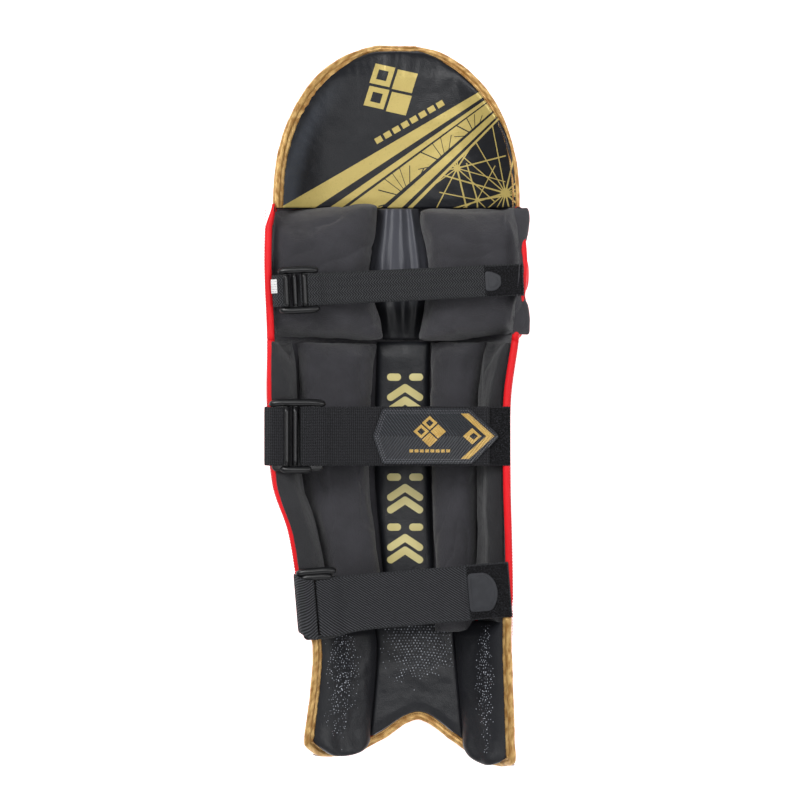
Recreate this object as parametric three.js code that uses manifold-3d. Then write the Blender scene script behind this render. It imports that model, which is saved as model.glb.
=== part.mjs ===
import * as THREE from "three";
import Module from "manifold-3d";

// A cricket batting pad for the left leg, lying on its front with its three straps fastened.
// Lengths are in millimetres. +X points to the inner side of the leg, +Y from the foot wings
// up to the top flap, and +Z from the front face up to the straps.

// Driving dimensions of the padded body
const PAD_LENGTH = 750; // lowest foot wing to the top of the flap
const PAD_WIDTH = 262; // across the base of the top flap
const PAD_DEPTH = 110; // front face to the edge of the wings beside the knee
const WALL_FRONT = 12; // padded wall behind the ribs
const WALL_LIP = 7; // padded wall at the edge of a wing
const FULLNESS = 2.6; // exponent of the cross-section, 2 is an ellipse
const KNEE_LOW = 0.592; // seam under the knee, as a share of the length
const KNEE_TOP = 0.7746; // seam over the knee, as a share of the length
const HEM_REACH = 140; // how far up from the foot the hem's curve is felt
const PAD_END = 14; // how far a stuffed piece takes to fill out from its end seams

// The front of the pad
const RIB_COUNT = 7;
const RIB_HEIGHT = 9;
const RIB_EDGE = 1.5;
const RIB_START = 12;
const RIB_END = 10; // how far a rib takes to rise at the foot
const ROLL_COUNT = 3;
const ROLL_HEIGHT = 23;
const ROLL_EDGE = 3;
const ROLL_REACH = 0.75; // share of the way round to the wing's edge

// The top flap
const FLAP_CURVE = 2.25; // exponent of the flap's outline
const FLAP_LAST_ANGLE = 82; // degrees, where the outline is cut flat at the top
const FLAP_BASE_FRONT = 0.215; // shares of the depth
const FLAP_TOP_FRONT = 0.27;
const FLAP_SIDE_RISE = 0.62;
const FLAP_WRAP = 66;
const FLAP_LINING = 9;
const FLAP_SIDE_INSET = 3; // from the outline to the flap's own edge at the sides
const FLAP_TOP_TAPER = 25; // how far the lining takes to fill out from its upper and lower seams
const FLAP_BASE_TAPER = 30;

// Piping, linings and cushions
const PIPING = 7; // diameter of the bound edge
const CHANNEL = 9; // thickness of the smooth strip down the middle
const BOLSTER = 34; // thickness of the two long bolsters
const SIDE_LINING = 17;
const FOOT_SIDE = 16;
const FOOT_MIDDLE = 8;
const SOFT_EDGE = 2; // thickness of a soft piece at its seam
const KNEE_CUP = 17;
const KNEE_CUP_START = 0.066; // share of the way up the knee
const KNEE_CUP_TAPER = 30; // how far the gathered strip takes to fill out
const KNEE_SEAM_ROW = 5; // from a cushion's seam to the first row of its top
const KNEE_CUSHION_TOP = 0.9; // height of the knee cushions, as a share of the depth
const KNEE_CUSHION_EDGE = 36; // height of their free inner edges
const KNEE_CUSHION_REACH = 0.93; // share of the way round to the wing's edge
const FOOT_PIPING_LEFT = 126; // how far up the wings' edges the foot's piping runs
const FOOT_PIPING_RIGHT = 148;
const WING_EDGE_TUCK = 3; // how far the fabric over the right wing's edge reaches inwards

// Straps and buckles
const WEBBING = 1.6;
const KNEE_STRAP = 33; // widths of the three straps
const CALF_STRAP = 61;
const ANKLE_STRAP = 58;
const BUCKLE_PLATE = 4;
const BUCKLE_BAR = 6; // middle bar
const BUCKLE_SLOT = 4;
const BUCKLE_RAIL = 5;
const BUCKLE_PLAY = 1; // between a strap's edge and the rail beside it
const BUCKLE_CORNER = 5;
const TIP_PLATE = 2;
const LABEL_LENGTH = 14.5;
const LABEL_PLATE = 0.5;

// Fits
const GAP = 0.4; // between a soft piece and what it lies on
const SEAM = 0.5; // between neighbours along a seam
const TAB_GAP = 0.8; // between a wing's outer face and the webbing on it
const PLAY = 0.3; // between webbing, plastic and what they touch
const COLUMNS = 24; // facets across a padded shell

const HALF_WIDTH = PAD_WIDTH / 2;
const KNEE_LOW_Y = KNEE_LOW * PAD_LENGTH;
const KNEE_TOP_Y = KNEE_TOP * PAD_LENGTH;
const FLAP_HEIGHT = PAD_LENGTH - KNEE_TOP_Y;

// The pad's cross-sections, from the foot to the knee's upper seam. at is the height up the pad as
// a share of its length. middle, left and right are shares of half the width: the line of the shin
// and how far each side reaches. front and lip are heights over the floor as shares of the depth.
// wrap is how far each side turns round the leg, in degrees.
const SECTIONS = [
  { at: 0.0, middle: 0.202, left: 0.71, right: 0.97, front: 0.09, lip: 0.54, wrap: 66 },
  { at: 0.16, middle: 0.186, left: 0.645, right: 0.945, front: 0.1, lip: 0.7, wrap: 74 },
  { at: 0.232, middle: 0.162, left: 0.74, right: 0.945, front: 0.11, lip: 0.83, wrap: 88 },
  { at: 0.326, middle: 0.123, left: 0.835, right: 0.938, front: 0.125, lip: 0.9, wrap: 97 },
  { at: 0.393, middle: 0.099, left: 0.962, right: 0.93, front: 0.135, lip: 0.94, wrap: 100 },
  { at: 0.509, middle: 0.083, left: 1.006, right: 0.932, front: 0.155, lip: 0.95, wrap: 100 },
  { at: 0.592, middle: 0.075, left: 1.002, right: 0.994, front: 0.2, lip: 0.97, wrap: 98 },
  { at: 0.692, middle: 0.044, left: 1.021, right: 1.06, front: 0.215, lip: 1.0, wrap: 95 },
  { at: 0.775, middle: 0.024, left: 1.01, right: 1.017, front: 0.215, lip: 0.97, wrap: 88 },
];

// The curve of the lower hem, from the left wing over the instep arch to the right wing. at is the
// way round the section, -1 at the left edge to 1 at the right. rise is a share of the length.
const HEM = [
  { at: -1, rise: 0.026 },
  { at: -0.8, rise: 0.0145 },
  { at: -0.52, rise: 0.019 },
  { at: -0.33, rise: 0.036 },
  { at: 0, rise: 0.0657 },
  { at: 0.33, rise: 0.036 },
  { at: 0.55, rise: 0.013 },
  { at: 0.8, rise: 0.002 },
  { at: 1, rise: 0.003 },
];

// Heights of the shin's rows, as shares of its length up to the knee's lower seam.
const SHIN_ROW_SHARES = [0, 0.045, 0.113, 0.203, 0.293, 0.383, 0.484, 0.597, 0.721, 0.856, 1];
const SHIN_ROWS = SHIN_ROW_SHARES.map((share) => share * (KNEE_LOW_Y - SEAM / 2));

// Reads a table of named columns at a place between its rows, on a smooth curve through them.
function readTable(table, at) {
  const after = table.findIndex((row) => row.at >= at);
  const i = Math.min(Math.max(after < 0 ? table.length - 1 : after, 1), table.length - 1);
  const [before, from, to, beyond] = [i - 2, i - 1, i, i + 1].map(
    (k) => table[Math.min(Math.max(k, 0), table.length - 1)],
  );
  const span = to.at - from.at;
  const t = Math.min(Math.max((at - from.at) / span, 0), 1);
  const read = {};
  for (const key of Object.keys(from)) {
    const slopeIn = ((to[key] - before[key]) / (to.at - before.at)) * span;
    const slopeOut = ((beyond[key] - from[key]) / (beyond.at - from.at)) * span;
    read[key] =
      from[key] * (2 * t ** 3 - 3 * t ** 2 + 1) +
      slopeIn * (t ** 3 - 2 * t ** 2 + t) +
      to[key] * (3 * t ** 2 - 2 * t ** 3) +
      slopeOut * (t ** 3 - t ** 2);
  }
  return read;
}

const mix = (from, to, share) => from + (to - from) * share;
const share = (value, from, to) => Math.min(Math.max((value - from) / (to - from), 0), 1);

// Half of a cross-section, from the middle of the front out to the edge of one wing, as points a
// constant distance apart along it.
function halfSection(reach, rise, wrapDegrees, count) {
  const wrap = THREE.MathUtils.degToRad(wrapDegrees);
  const power = 2 / FULLNESS;
  const across = (a) => Math.sin(a) ** power;
  const up = (a) => 1 - Math.sign(Math.cos(a)) * Math.abs(Math.cos(a)) ** power;
  const widest = wrap > Math.PI / 2 ? 1 : across(wrap);
  const fine = [];
  for (let k = 0; k <= 20 * count; k++) {
    const a = (wrap * k) / (20 * count);
    fine.push(new THREE.Vector2((reach * across(a)) / widest, (rise * up(a)) / up(wrap)));
  }
  const walked = [0];
  for (let k = 1; k < fine.length; k++) walked.push(walked[k - 1] + fine[k].distanceTo(fine[k - 1]));
  const points = [];
  for (let k = 0; k <= count; k++) {
    const want = (walked[walked.length - 1] * k) / count;
    const i = Math.max(1, walked.findIndex((w) => w >= want - 1e-9));
    points.push(fine[i - 1].clone().lerp(fine[i], share(want, walked[i - 1], walked[i])));
  }
  return points;
}

// The outer line of one whole cross-section, from the left edge to the right edge.
function wholeSection({ middle, left, right, front, lip, wrap }) {
  const count = COLUMNS / 2;
  const leftHalf = halfSection(left + middle, lip - front, wrap, count);
  const rightHalf = halfSection(right - middle, lip - front, wrap, count);
  const points = leftHalf.reverse().map((p) => new THREE.Vector2(middle - p.x, front + p.y));
  return points.concat(rightHalf.slice(1).map((p) => new THREE.Vector2(middle + p.x, front + p.y)));
}

// A padded wall lofted through cross-sections. A place on it is given by u, the way round from -1
// at the left edge to 1 at the right edge, and v, the height up the pad before the hem's curve.
class PaddedShell {
  constructor(heights, sectionAt, shiftAt) {
    this.heights = heights;
    this.outer = [];
    this.inner = [];
    this.normals = [];
    for (const v of heights) {
      const line = wholeSection(sectionAt(v));
      const outer = [];
      const inner = [];
      const normals = [];
      line.forEach((p, i) => {
        const u = (2 * i) / COLUMNS - 1;
        const before = line[Math.max(i - 1, 0)];
        const along = line[Math.min(i + 1, COLUMNS)].clone().sub(before).normalize();
        const normal = new THREE.Vector3(-along.y, 0, along.x);
        const place = new THREE.Vector3(p.x, v + shiftAt(u, v), p.y);
        outer.push(place);
        inner.push(place.clone().addScaledVector(normal, mix(WALL_FRONT, WALL_LIP, u * u)));
        normals.push(normal);
      });
      this.outer.push(outer);
      this.inner.push(inner);
      this.normals.push(normals);
    }
  }

  blend(grid, u, v) {
    const across = THREE.MathUtils.clamp(((u + 1) / 2) * COLUMNS, 0, COLUMNS);
    const i = Math.min(Math.floor(across), COLUMNS - 1);
    const last = this.heights.length - 2;
    const above = this.heights.findIndex((h) => h > v);
    const row = above < 0 ? last : Math.max(above - 1, 0);
    const a = across - i;
    const b = share(v, this.heights[row], this.heights[row + 1]);
    const low = grid[row][i].clone().lerp(grid[row][i + 1], a);
    return low.lerp(grid[row + 1][i].clone().lerp(grid[row + 1][i + 1], a), b);
  }

  // A point a distance inside the inner face, towards the leg.
  inside(u, v, distance) {
    const normal = this.blend(this.normals, u, v).normalize();
    return this.blend(this.inner, u, v).addScaledVector(normal, distance);
  }

  // A point a distance outside the outer face.
  outside(u, v, distance) {
    const normal = this.blend(this.normals, u, v).normalize();
    return this.blend(this.outer, u, v).addScaledVector(normal, -distance);
  }

  // The heights of this shell's rows between two places, with the places themselves.
  rowsBetween(from, to, extra = []) {
    const inner = this.heights.filter((h) => h > from + 1 && h < to - 1);
    return [from, ...inner, ...extra, to].sort((a, b) => a - b);
  }

  solid() {
    return solidBetween(
      spread(-1, 1, COLUMNS),
      this.heights,
      (u, v) => this.blend(this.outer, u, v),
      (u, v) => this.blend(this.inner, u, v),
    );
  }
}

function spread(from, to, count) {
  return Array.from({ length: count + 1 }, (_, k) => mix(from, to, k / count));
}

// A closed solid between a low and a high sheet of points over one grid of u and v.
function solidBetween(us, vs, low, high) {
  const positions = [];
  const index = [];
  const columns = us.length - 1;
  const rows = vs.length - 1;
  for (const sheet of [low, high])
    vs.forEach((v, j) =>
      us.forEach((u, i) => positions.push(...sheet(u, v, i / columns, j / rows).toArray())),
    );
  const at = (sheet, i, j) => (sheet * (rows + 1) + j) * (columns + 1) + i;
  const quad = (a, b, c, d) => index.push(a, b, c, a, c, d);
  for (let j = 0; j < rows; j++)
    for (let i = 0; i < columns; i++) {
      quad(at(1, i, j), at(1, i + 1, j), at(1, i + 1, j + 1), at(1, i, j + 1));
      quad(at(0, i, j), at(0, i, j + 1), at(0, i + 1, j + 1), at(0, i + 1, j));
    }
  for (let i = 0; i < columns; i++) {
    quad(at(0, i, 0), at(0, i + 1, 0), at(1, i + 1, 0), at(1, i, 0));
    quad(at(1, i, rows), at(1, i + 1, rows), at(0, i + 1, rows), at(0, i, rows));
  }
  for (let j = 0; j < rows; j++) {
    quad(at(0, 0, j + 1), at(0, 0, j), at(1, 0, j), at(1, 0, j + 1));
    quad(at(0, columns, j), at(0, columns, j + 1), at(1, columns, j + 1), at(1, columns, j));
  }
  const geometry = new THREE.BufferGeometry();
  geometry.setAttribute("position", new THREE.Float32BufferAttribute(positions, 3));
  geometry.setIndex(index);
  geometry.computeVertexNormals();
  return geometry;
}

// How full a stuffed piece is at a share of its way across: 0 at both seams, 1 in the middle.
const crown = (s, squareness = 2) => Math.sqrt(Math.max(0, 1 - Math.abs(2 * s - 1) ** squareness));

// The three padded shells
const scaled = (row) => ({
  middle: row.middle * HALF_WIDTH,
  left: row.left * HALF_WIDTH,
  right: row.right * HALF_WIDTH,
  front: row.front * PAD_DEPTH,
  lip: row.lip * PAD_DEPTH,
  wrap: row.wrap,
});
const bodySection = (v) => scaled(readTable(SECTIONS, v / PAD_LENGTH));
const hemInset = PIPING + GAP;
const hemShift = (u, v) => (readTable(HEM, u).rise * PAD_LENGTH + hemInset) * (1 - share(v, 0, HEM_REACH));
const shin = new PaddedShell(SHIN_ROWS, bodySection, hemShift);
const kneeRows = spread(KNEE_LOW_Y + SEAM / 2, KNEE_TOP_Y - SEAM / 2, ROLL_COUNT);
const knee = new PaddedShell(kneeRows, bodySection, () => 0);

// The flap's outline is a rounded arch, drawn inside its piping.
const FLAP_ROWS = 8;
const flapInset = PIPING + GAP;
const flapAngles = spread(0, THREE.MathUtils.degToRad(FLAP_LAST_ANGLE), FLAP_ROWS);
const flapHeights = flapAngles.map((a) => {
  const up = (Math.sin(a) / Math.sin(flapAngles[FLAP_ROWS])) ** (2 / FLAP_CURVE);
  return mix(KNEE_TOP_Y + SEAM / 2, KNEE_TOP_Y + FLAP_HEIGHT - flapInset, up);
});
const flapMiddle = SECTIONS[SECTIONS.length - 1].middle * HALF_WIDTH;
function flapSection(v) {
  const up = share(v, flapHeights[0], flapHeights[FLAP_ROWS]);
  const angle = Math.asin(up ** (FLAP_CURVE / 2) * Math.sin(flapAngles[FLAP_ROWS]));
  const half = (HALF_WIDTH - FLAP_SIDE_INSET) * Math.cos(angle) ** (2 / FLAP_CURVE);
  const front = mix(FLAP_BASE_FRONT, FLAP_TOP_FRONT, up) * PAD_DEPTH;
  return {
    middle: flapMiddle,
    left: half - flapMiddle,
    right: half + flapMiddle,
    front,
    lip: front + FLAP_SIDE_RISE * PAD_DEPTH * (half / HALF_WIDTH) ** 2,
    wrap: FLAP_WRAP,
  };
}
const flap = new PaddedShell(flapHeights, flapSection, () => 0);

// Cane ribs and knee rolls on the front
function shinRib(number) {
  const width = 2;
  const first = (COLUMNS - RIB_COUNT * width) / 2 + number * width;
  const from = (2 * first) / COLUMNS - 1;
  const to = (2 * (first + width)) / COLUMNS - 1;
  const trim = SEAM / PAD_WIDTH;
  const us = [from + trim, mix(from, to, 0.25), mix(from, to, 0.5), mix(from, to, 0.75), to - trim];
  const top = SHIN_ROWS[SHIN_ROWS.length - 1] - SEAM;
  const vs = shin.rowsBetween(RIB_START, top, [RIB_START + RIB_END / 2]);
  const height = (v, s) => {
    const rise = mix(0.4, 1, share(v, RIB_START, RIB_START + RIB_END));
    return mix(RIB_EDGE, RIB_HEIGHT, crown(s) * rise);
  };
  return solidBetween(
    us,
    vs,
    (u, v, s) => shin.outside(u, v, GAP + height(v, share(u, from, to))),
    (u, v) => shin.outside(u, v, GAP),
  );
}

function kneeRoll(number) {
  const from = kneeRows[number] + SEAM / 2;
  const to = kneeRows[number + 1] - SEAM / 2;
  const reach = Math.round((ROLL_REACH * COLUMNS) / 2);
  const us = spread(-reach, reach, 2 * reach).map((k) => (2 * k) / COLUMNS);
  const vs = [0, 0.1, 0.36, 0.64, 0.9, 1].map((t) => mix(from, to, t));
  const height = (u, v) => {
    const across = crown(share(u, us[0], us[us.length - 1]), 8);
    return mix(ROLL_EDGE, ROLL_HEIGHT, crown(share(v, from, to), 3) * across);
  };
  return solidBetween(
    us,
    vs,
    (u, v) => knee.outside(u, v, GAP + height(u, v)),
    (u, v) => knee.outside(u, v, GAP),
  );
}

// A stuffed piece lying on the inner face of a shell, between two seams that may lean.
function stuffed(shell, { left, right, from, to, thick, columns }) {
  const border = (pair, v) => mix(pair[0], pair[1], share(v, from, to));
  const trim = SEAM / PAD_WIDTH;
  const place = (s, v) => mix(border(left, v) + trim, border(right, v) - trim, s);
  const full = (s, v) => {
    const low = share(v, from - PAD_END / 3, from + PAD_END);
    const high = share(v, to + PAD_END / 3, to - PAD_END);
    return mix(SOFT_EDGE, thick, crown(s, 3) * Math.sqrt(Math.min(low, high)));
  };
  return solidBetween(
    spread(0, 1, columns),
    shell.rowsBetween(from, to, [from + PAD_END / 2, to - PAD_END / 2]),
    (s, v) => shell.inside(place(s, v), v, GAP),
    (s, v) => shell.inside(place(s, v), v, GAP + full(s, v)),
  );
}

// The long bolsters, the smooth channel between them and the padded linings of the wings. left and
// right are the seams' places round the section, at the lower and at the upper end.
const BOLSTER_LOW = 0.184 * PAD_LENGTH;
const BOLSTER_HIGH = KNEE_LOW_Y - 2;
const SHIN_PADS = [
  { name: "side_lining_left", left: [-0.985, -0.985], right: [-0.62, -0.6], thick: SIDE_LINING, columns: 5 },
  { name: "shin_bolster_left", left: [-0.62, -0.6], right: [-0.19, -0.145], thick: BOLSTER, columns: 7 },
  { name: "shin_channel", left: [-0.19, -0.145], right: [0.15, 0.167], thick: CHANNEL, columns: 4 },
  { name: "shin_bolster_right", left: [0.15, 0.167], right: [0.52, 0.56], thick: BOLSTER, columns: 6 },
  { name: "side_lining_right", left: [0.52, 0.56], right: [0.985, 0.985], thick: SIDE_LINING, columns: 5 },
];

// The three panels over the foot.
const FOOT_LOW = 3;
const FOOT_HIGH = BOLSTER_LOW - SEAM;
const FOOT_PADS = [
  { name: "foot_panel_left", left: [-0.985, -0.985], right: [-0.39, -0.3], thick: FOOT_SIDE, columns: 5 },
  { name: "foot_panel_middle", left: [-0.39, -0.3], right: [0.42, 0.31], thick: FOOT_MIDDLE, columns: 5 },
  { name: "foot_panel_right", left: [0.42, 0.31], right: [0.985, 0.985], thick: FOOT_SIDE, columns: 5 },
];

// The knee cushions' inner edges, which curve away from the leg, as places round the section. at is
// a share of the way from the lower to the upper seam of the knee.
const KNEE_EDGES = [
  { at: 0, left: -0.115, right: 0.105 },
  { at: 0.5, left: -0.175, right: 0.185 },
  { at: 1, left: -0.115, right: 0.14 },
];
const kneeShare = (v) => share(v, KNEE_LOW_Y, KNEE_TOP_Y);
const kneeTrim = (2 * SEAM) / PAD_WIDTH;
const cupStart = mix(KNEE_LOW_Y, KNEE_TOP_Y, KNEE_CUP_START);
const kneePadRows = (() => {
  const [from, to] = [kneeRows[0] + SEAM, kneeRows[ROLL_COUNT] - SEAM];
  const between = [0.16, 0.5, 0.84].map((t) => mix(from, to, t));
  return knee.rowsBetween(from, to, [from + KNEE_SEAM_ROW, cupStart, ...between, to - KNEE_SEAM_ROW]);
})();

// A knee cushion fills one side of the pad from the wing's edge to its own free inner edge.
function kneeCushion(side) {
  const inner = (v) => readTable(KNEE_EDGES, kneeShare(v))[side];
  const outer = (side === "left" ? -1 : 1) * KNEE_CUSHION_REACH;
  const [from, to] = [kneePadRows[0], kneePadRows[kneePadRows.length - 1]];
  const place = (s, v) =>
    side === "left" ? mix(outer, inner(v) - kneeTrim, s) : mix(inner(v) + kneeTrim, outer, s);
  const top = (s, t, low) => {
    const towardInner = side === "left" ? s : 1 - s;
    const edge = low.z + mix(SOFT_EDGE, KNEE_CUSHION_EDGE, towardInner);
    const full = Math.max(edge, KNEE_CUSHION_TOP * PAD_DEPTH);
    return mix(edge, full, crown(s, 5) * crown(t, 5));
  };
  return solidBetween(
    spread(0, 1, 8),
    kneePadRows,
    (s, v) => knee.inside(place(s, v), v, GAP),
    (s, v) => {
      const low = knee.inside(place(s, v), v, GAP);
      return new THREE.Vector3(low.x, low.y, top(s, share(v, from, to), low));
    },
  );
}

// The gathered strip between the knee cushions.
function kneeCup() {
  const edges = (v) => readTable(KNEE_EDGES, kneeShare(v));
  const place = (s, v) => mix(edges(v).left + kneeTrim, edges(v).right - kneeTrim, s);
  const rise = (v) => share(v, cupStart - KNEE_CUP_TAPER / 3, cupStart + (2 * KNEE_CUP_TAPER) / 3);
  const thick = (s, v) => mix(SOFT_EDGE, KNEE_CUP, crown(s) * rise(v));
  return solidBetween(
    spread(0, 1, 6),
    kneePadRows.filter((v) => v >= cupStart),
    (s, v) => knee.inside(place(s, v), v, GAP),
    (s, v) => knee.inside(place(s, v), v, GAP + thick(s, v)),
  );
}

// The free fabric edge of the right knee cushion, drawn in where the strap crosses it. reach is a
// share of half the width.
const WING_EDGE = [
  { at: 0, reach: 1.068 },
  { at: 0.22, reach: 1.06 },
  { at: 0.31, reach: 1.037 },
  { at: 0.6, reach: 1.037 },
  { at: 0.66, reach: 1.022 },
  { at: 0.76, reach: 1.05 },
  { at: 0.9, reach: 1.07 },
  { at: 1, reach: 1.06 },
];
function kneeWingEdge() {
  const [from, to] = [kneeRows[0] + SEAM, kneeRows[ROLL_COUNT] - SEAM];
  const us = spread(0, 1, 2);
  const vs = spread(0, 1, 12).map((t) => mix(from, to, t));
  const sheet = (s, v, lift) => {
    const lip = knee.inside(1, v, 0);
    const outerLip = knee.outside(1, v, 0);
    const x = mix(lip.x - WING_EDGE_TUCK, readTable(WING_EDGE, kneeShare(v)).reach * HALF_WIDTH, s);
    return new THREE.Vector3(x, v, Math.max(lip.z, outerLip.z) + GAP + lift);
  };
  return solidBetween(us, vs, (s, v) => sheet(s, v, 0), (s, v) => sheet(s, v, SOFT_EDGE));
}

function flapLining() {
  const [from, to] = [flapHeights[0] + SEAM, flapHeights[FLAP_ROWS] - SEAM];
  const reach = 0.985;
  const thick = (u, v) => {
    const high = share(v, to, to - FLAP_TOP_TAPER);
    const low = share(v, from - (2 * FLAP_BASE_TAPER) / 3, from + FLAP_BASE_TAPER / 3);
    return mix(SOFT_EDGE, FLAP_LINING, crown((u / reach + 1) / 2, 4) * Math.sqrt(high * low));
  };
  return solidBetween(
    spread(-reach, reach, 16),
    flap.rowsBetween(from, to, [to - 4]),
    (u, v) => flap.inside(u, v, GAP),
    (u, v) => flap.inside(u, v, GAP + thick(u, v)),
  );
}

// A round piping laid against an edge of a shell. stops are places (u, v) along that edge, and
// sense is 1 where they run clockwise seen from the straps, -1 where they run the other way.
function piping(wall, stops, sense) {
  const corners = 8;
  const edge = stops.map(([u, v]) => wall.outside(u, v, 0).lerp(wall.inside(u, v, 0), 0.5));
  const across = stops.map(([u, v]) => wall.inside(u, v, 1).sub(wall.inside(u, v, 0)).normalize());
  const away = edge.slice(1).map((p, k) => {
    const along = p.clone().sub(edge[k]);
    const through = across[k].clone().add(across[k + 1]);
    return through.cross(along).normalize().multiplyScalar(sense);
  });
  const positions = [];
  const index = [];
  edge.forEach((p, k) => {
    const before = away[Math.max(k - 1, 0)];
    const out = before.clone().add(away[Math.min(k, away.length - 1)]).normalize();
    const mitre = 1 / out.dot(before);
    const side = across[k].clone().addScaledVector(out, -across[k].dot(out)).normalize();
    for (let c = 0; c < corners; c++) {
      const angle = (2 * Math.PI * (c + 0.5)) / corners;
      const reach = (PIPING / 2 + GAP + (PIPING / 2) * Math.cos(angle)) * mitre;
      const point = p.clone().addScaledVector(out, reach);
      positions.push(...point.addScaledVector(side, (PIPING / 2) * Math.sin(angle)).toArray());
    }
  });
  const last = edge.length - 1;
  const triangle = (a, b, c) => index.push(a, ...(sense > 0 ? [b, c] : [c, b]));
  for (let k = 0; k < last; k++)
    for (let c = 0; c < corners; c++) {
      const [a, b] = [k * corners + c, k * corners + ((c + 1) % corners)];
      triangle(a, b, b + corners);
      triangle(a, b + corners, a + corners);
    }
  for (let c = 1; c < corners - 1; c++) {
    triangle(0, c + 1, c);
    triangle(last * corners, last * corners + c, last * corners + c + 1);
  }
  const geometry = new THREE.BufferGeometry();
  geometry.setAttribute("position", new THREE.Float32BufferAttribute(positions, 3));
  geometry.setIndex(index);
  geometry.computeVertexNormals();
  return geometry;
}

function flapPiping() {
  const up = flapHeights.map((v) => [-1, v]);
  const over = [-0.5, 0, 0.5].map((u) => [u, flapHeights[FLAP_ROWS]]);
  const down = flapHeights.map((v) => [1, v]).reverse();
  return piping(flap, [...up, ...over, ...down], 1);
}

function footPiping() {
  const rows = shin.heights.filter((v) => v > 0 && v < FOOT_PIPING_LEFT);
  const hem = spread(-1, 1, COLUMNS).map((u) => [u, 0]);
  const down = [FOOT_PIPING_LEFT, ...[...rows].reverse()].map((v) => [-1, v]);
  const up = [...rows, FOOT_PIPING_RIGHT].map((v) => [1, v]);
  return piping(shin, [...down, ...hem, ...up], -1);
}

// A thin band of webbing that follows a line of points in side view, made wide across the page.
function ribbon(points, thickness, width) {
  const offset = (side) =>
    points.map((p, k) => {
      const before = points[Math.max(k - 1, 0)];
      const after = points[Math.min(k + 1, points.length - 1)];
      const first = p.clone().sub(before);
      const second = after.clone().sub(p);
      const normals = [first, second]
        .filter((d) => d.length() > 1e-9)
        .map((d) => new THREE.Vector2(-d.y, d.x).normalize());
      const normal = normals.reduce((a, b) => a.clone().add(b)).normalize();
      return p.clone().addScaledVector(normal, (side * thickness) / 2 / normal.dot(normals[0]));
    });
  const outline = new THREE.Shape([...offset(1), ...offset(-1).reverse()]);
  const geometry = new THREE.ExtrudeGeometry(outline, { depth: width, bevelEnabled: false });
  return geometry.rotateX(Math.PI / 2).translate(0, width / 2, 0);
}

const solids = await Module();
solids.setup();

// The three straps, from the foot up. at is the strap's place where it turns in its buckle, as a
// share of the length. anchor, fold, returned and end are places across the pad, as shares of half
// the width: the left end of the anchor, the strap's turn, the end of its returning layer and the
// end sewn to the right wing. left_bar and right_bar are widths of the buckle's end bars. slope
// turns the set in its plane and lean rolls it along the wings' edges, both in degrees.
const STRAPS = [
  {
    name: "ankle", width: ANKLE_STRAP, at: 0.225, anchor: -0.767, fold: -0.606, returned: 0.595, end: 0.93,
    left_bar: 4.5, right_bar: 16, slope: 4.8, lean: 9,
  },
  {
    name: "calf", width: CALF_STRAP, at: 0.459, anchor: -1.02, fold: -0.74, returned: 0.76, end: 0.925,
    left_bar: 17, right_bar: 22, slope: 0, lean: 0,
  },
  {
    name: "knee", width: KNEE_STRAP, at: 0.661, anchor: -0.955, fold: -0.74, returned: 0.724, end: 1.03,
    left_bar: 9, right_bar: 16, slope: 2.7, lean: 0,
  },
];
const plateLow = WEBBING + PLAY;
const plateHigh = plateLow + BUCKLE_PLATE;
const overPlate = plateHigh + PLAY + WEBBING / 2;
const overStrap = WEBBING + PLAY + WEBBING / 2;
const strapTop = overStrap + WEBBING / 2 + PLAY;

// A strap set is drawn level around its fold, then turned and laid on the wings' edges.
function strapSet(strap) {
  const across = (place) => (place - strap.fold) * HALF_WIDTH;
  const rightBar = WEBBING + PLAY;
  const middleBar = rightBar - BUCKLE_SLOT - BUCKLE_BAR;
  const leftBar = middleBar - BUCKLE_SLOT;
  const set = { across, rightBar, middleBar, leftBar, buckleLeft: leftBar - strap.left_bar };
  set.buckleRight = rightBar + strap.right_bar;
  const y = strap.at * PAD_LENGTH;
  const lean = Math.tan(THREE.MathUtils.degToRad(strap.lean));
  const slope = Math.tan(THREE.MathUtils.degToRad(strap.slope));
  const rest = (side, place, cover) => {
    const middle = y + across(place) * slope;
    const wall = middle > KNEE_LOW_Y ? knee : shin;
    const heights = spread(-0.5, 0.5, 8).map((t) => {
      const v = middle + t * strap.width;
      const edge = [wall.inside(side, v, 0), wall.outside(side, v, TAB_GAP + WEBBING)];
      return Math.max(...edge.map((p) => p.z)) - t * strap.width * lean + cover;
    });
    return Math.max(...heights) + PLAY;
  };
  const cover = strap.name === "knee" ? GAP + SOFT_EDGE : 0;
  set.height = Math.max(rest(-1, strap.anchor, 0), rest(1, strap.end, cover));
  set.lay = (geometry) =>
    geometry
      .rotateX(THREE.MathUtils.degToRad(strap.lean))
      .rotateZ(THREE.MathUtils.degToRad(strap.slope))
      .translate(strap.fold * HALF_WIDTH, y, set.height);
  return set;
}

function strapBand(strap, { across, buckleRight }) {
  const points = [
    [across(strap.end), WEBBING / 2],
    [WEBBING / 2, WEBBING / 2],
    [WEBBING / 2, overPlate],
    [buckleRight + PLAY, overPlate],
    [buckleRight + 9, overStrap],
    [across(strap.returned), overStrap],
  ];
  return ribbon(points.map(([x, z]) => new THREE.Vector2(x, z)), WEBBING, strap.width);
}

function strapAnchor(strap, { across, leftBar, buckleLeft }) {
  const turn = leftBar + PLAY + WEBBING / 2;
  const points = [
    [across(strap.anchor), WEBBING / 2],
    [turn, WEBBING / 2],
    [turn, overPlate],
    [buckleLeft - PLAY, overPlate],
    [across(strap.anchor), overStrap],
  ];
  return ribbon(points.map(([x, z]) => new THREE.Vector2(x, z)), WEBBING, strap.width);
}

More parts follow.
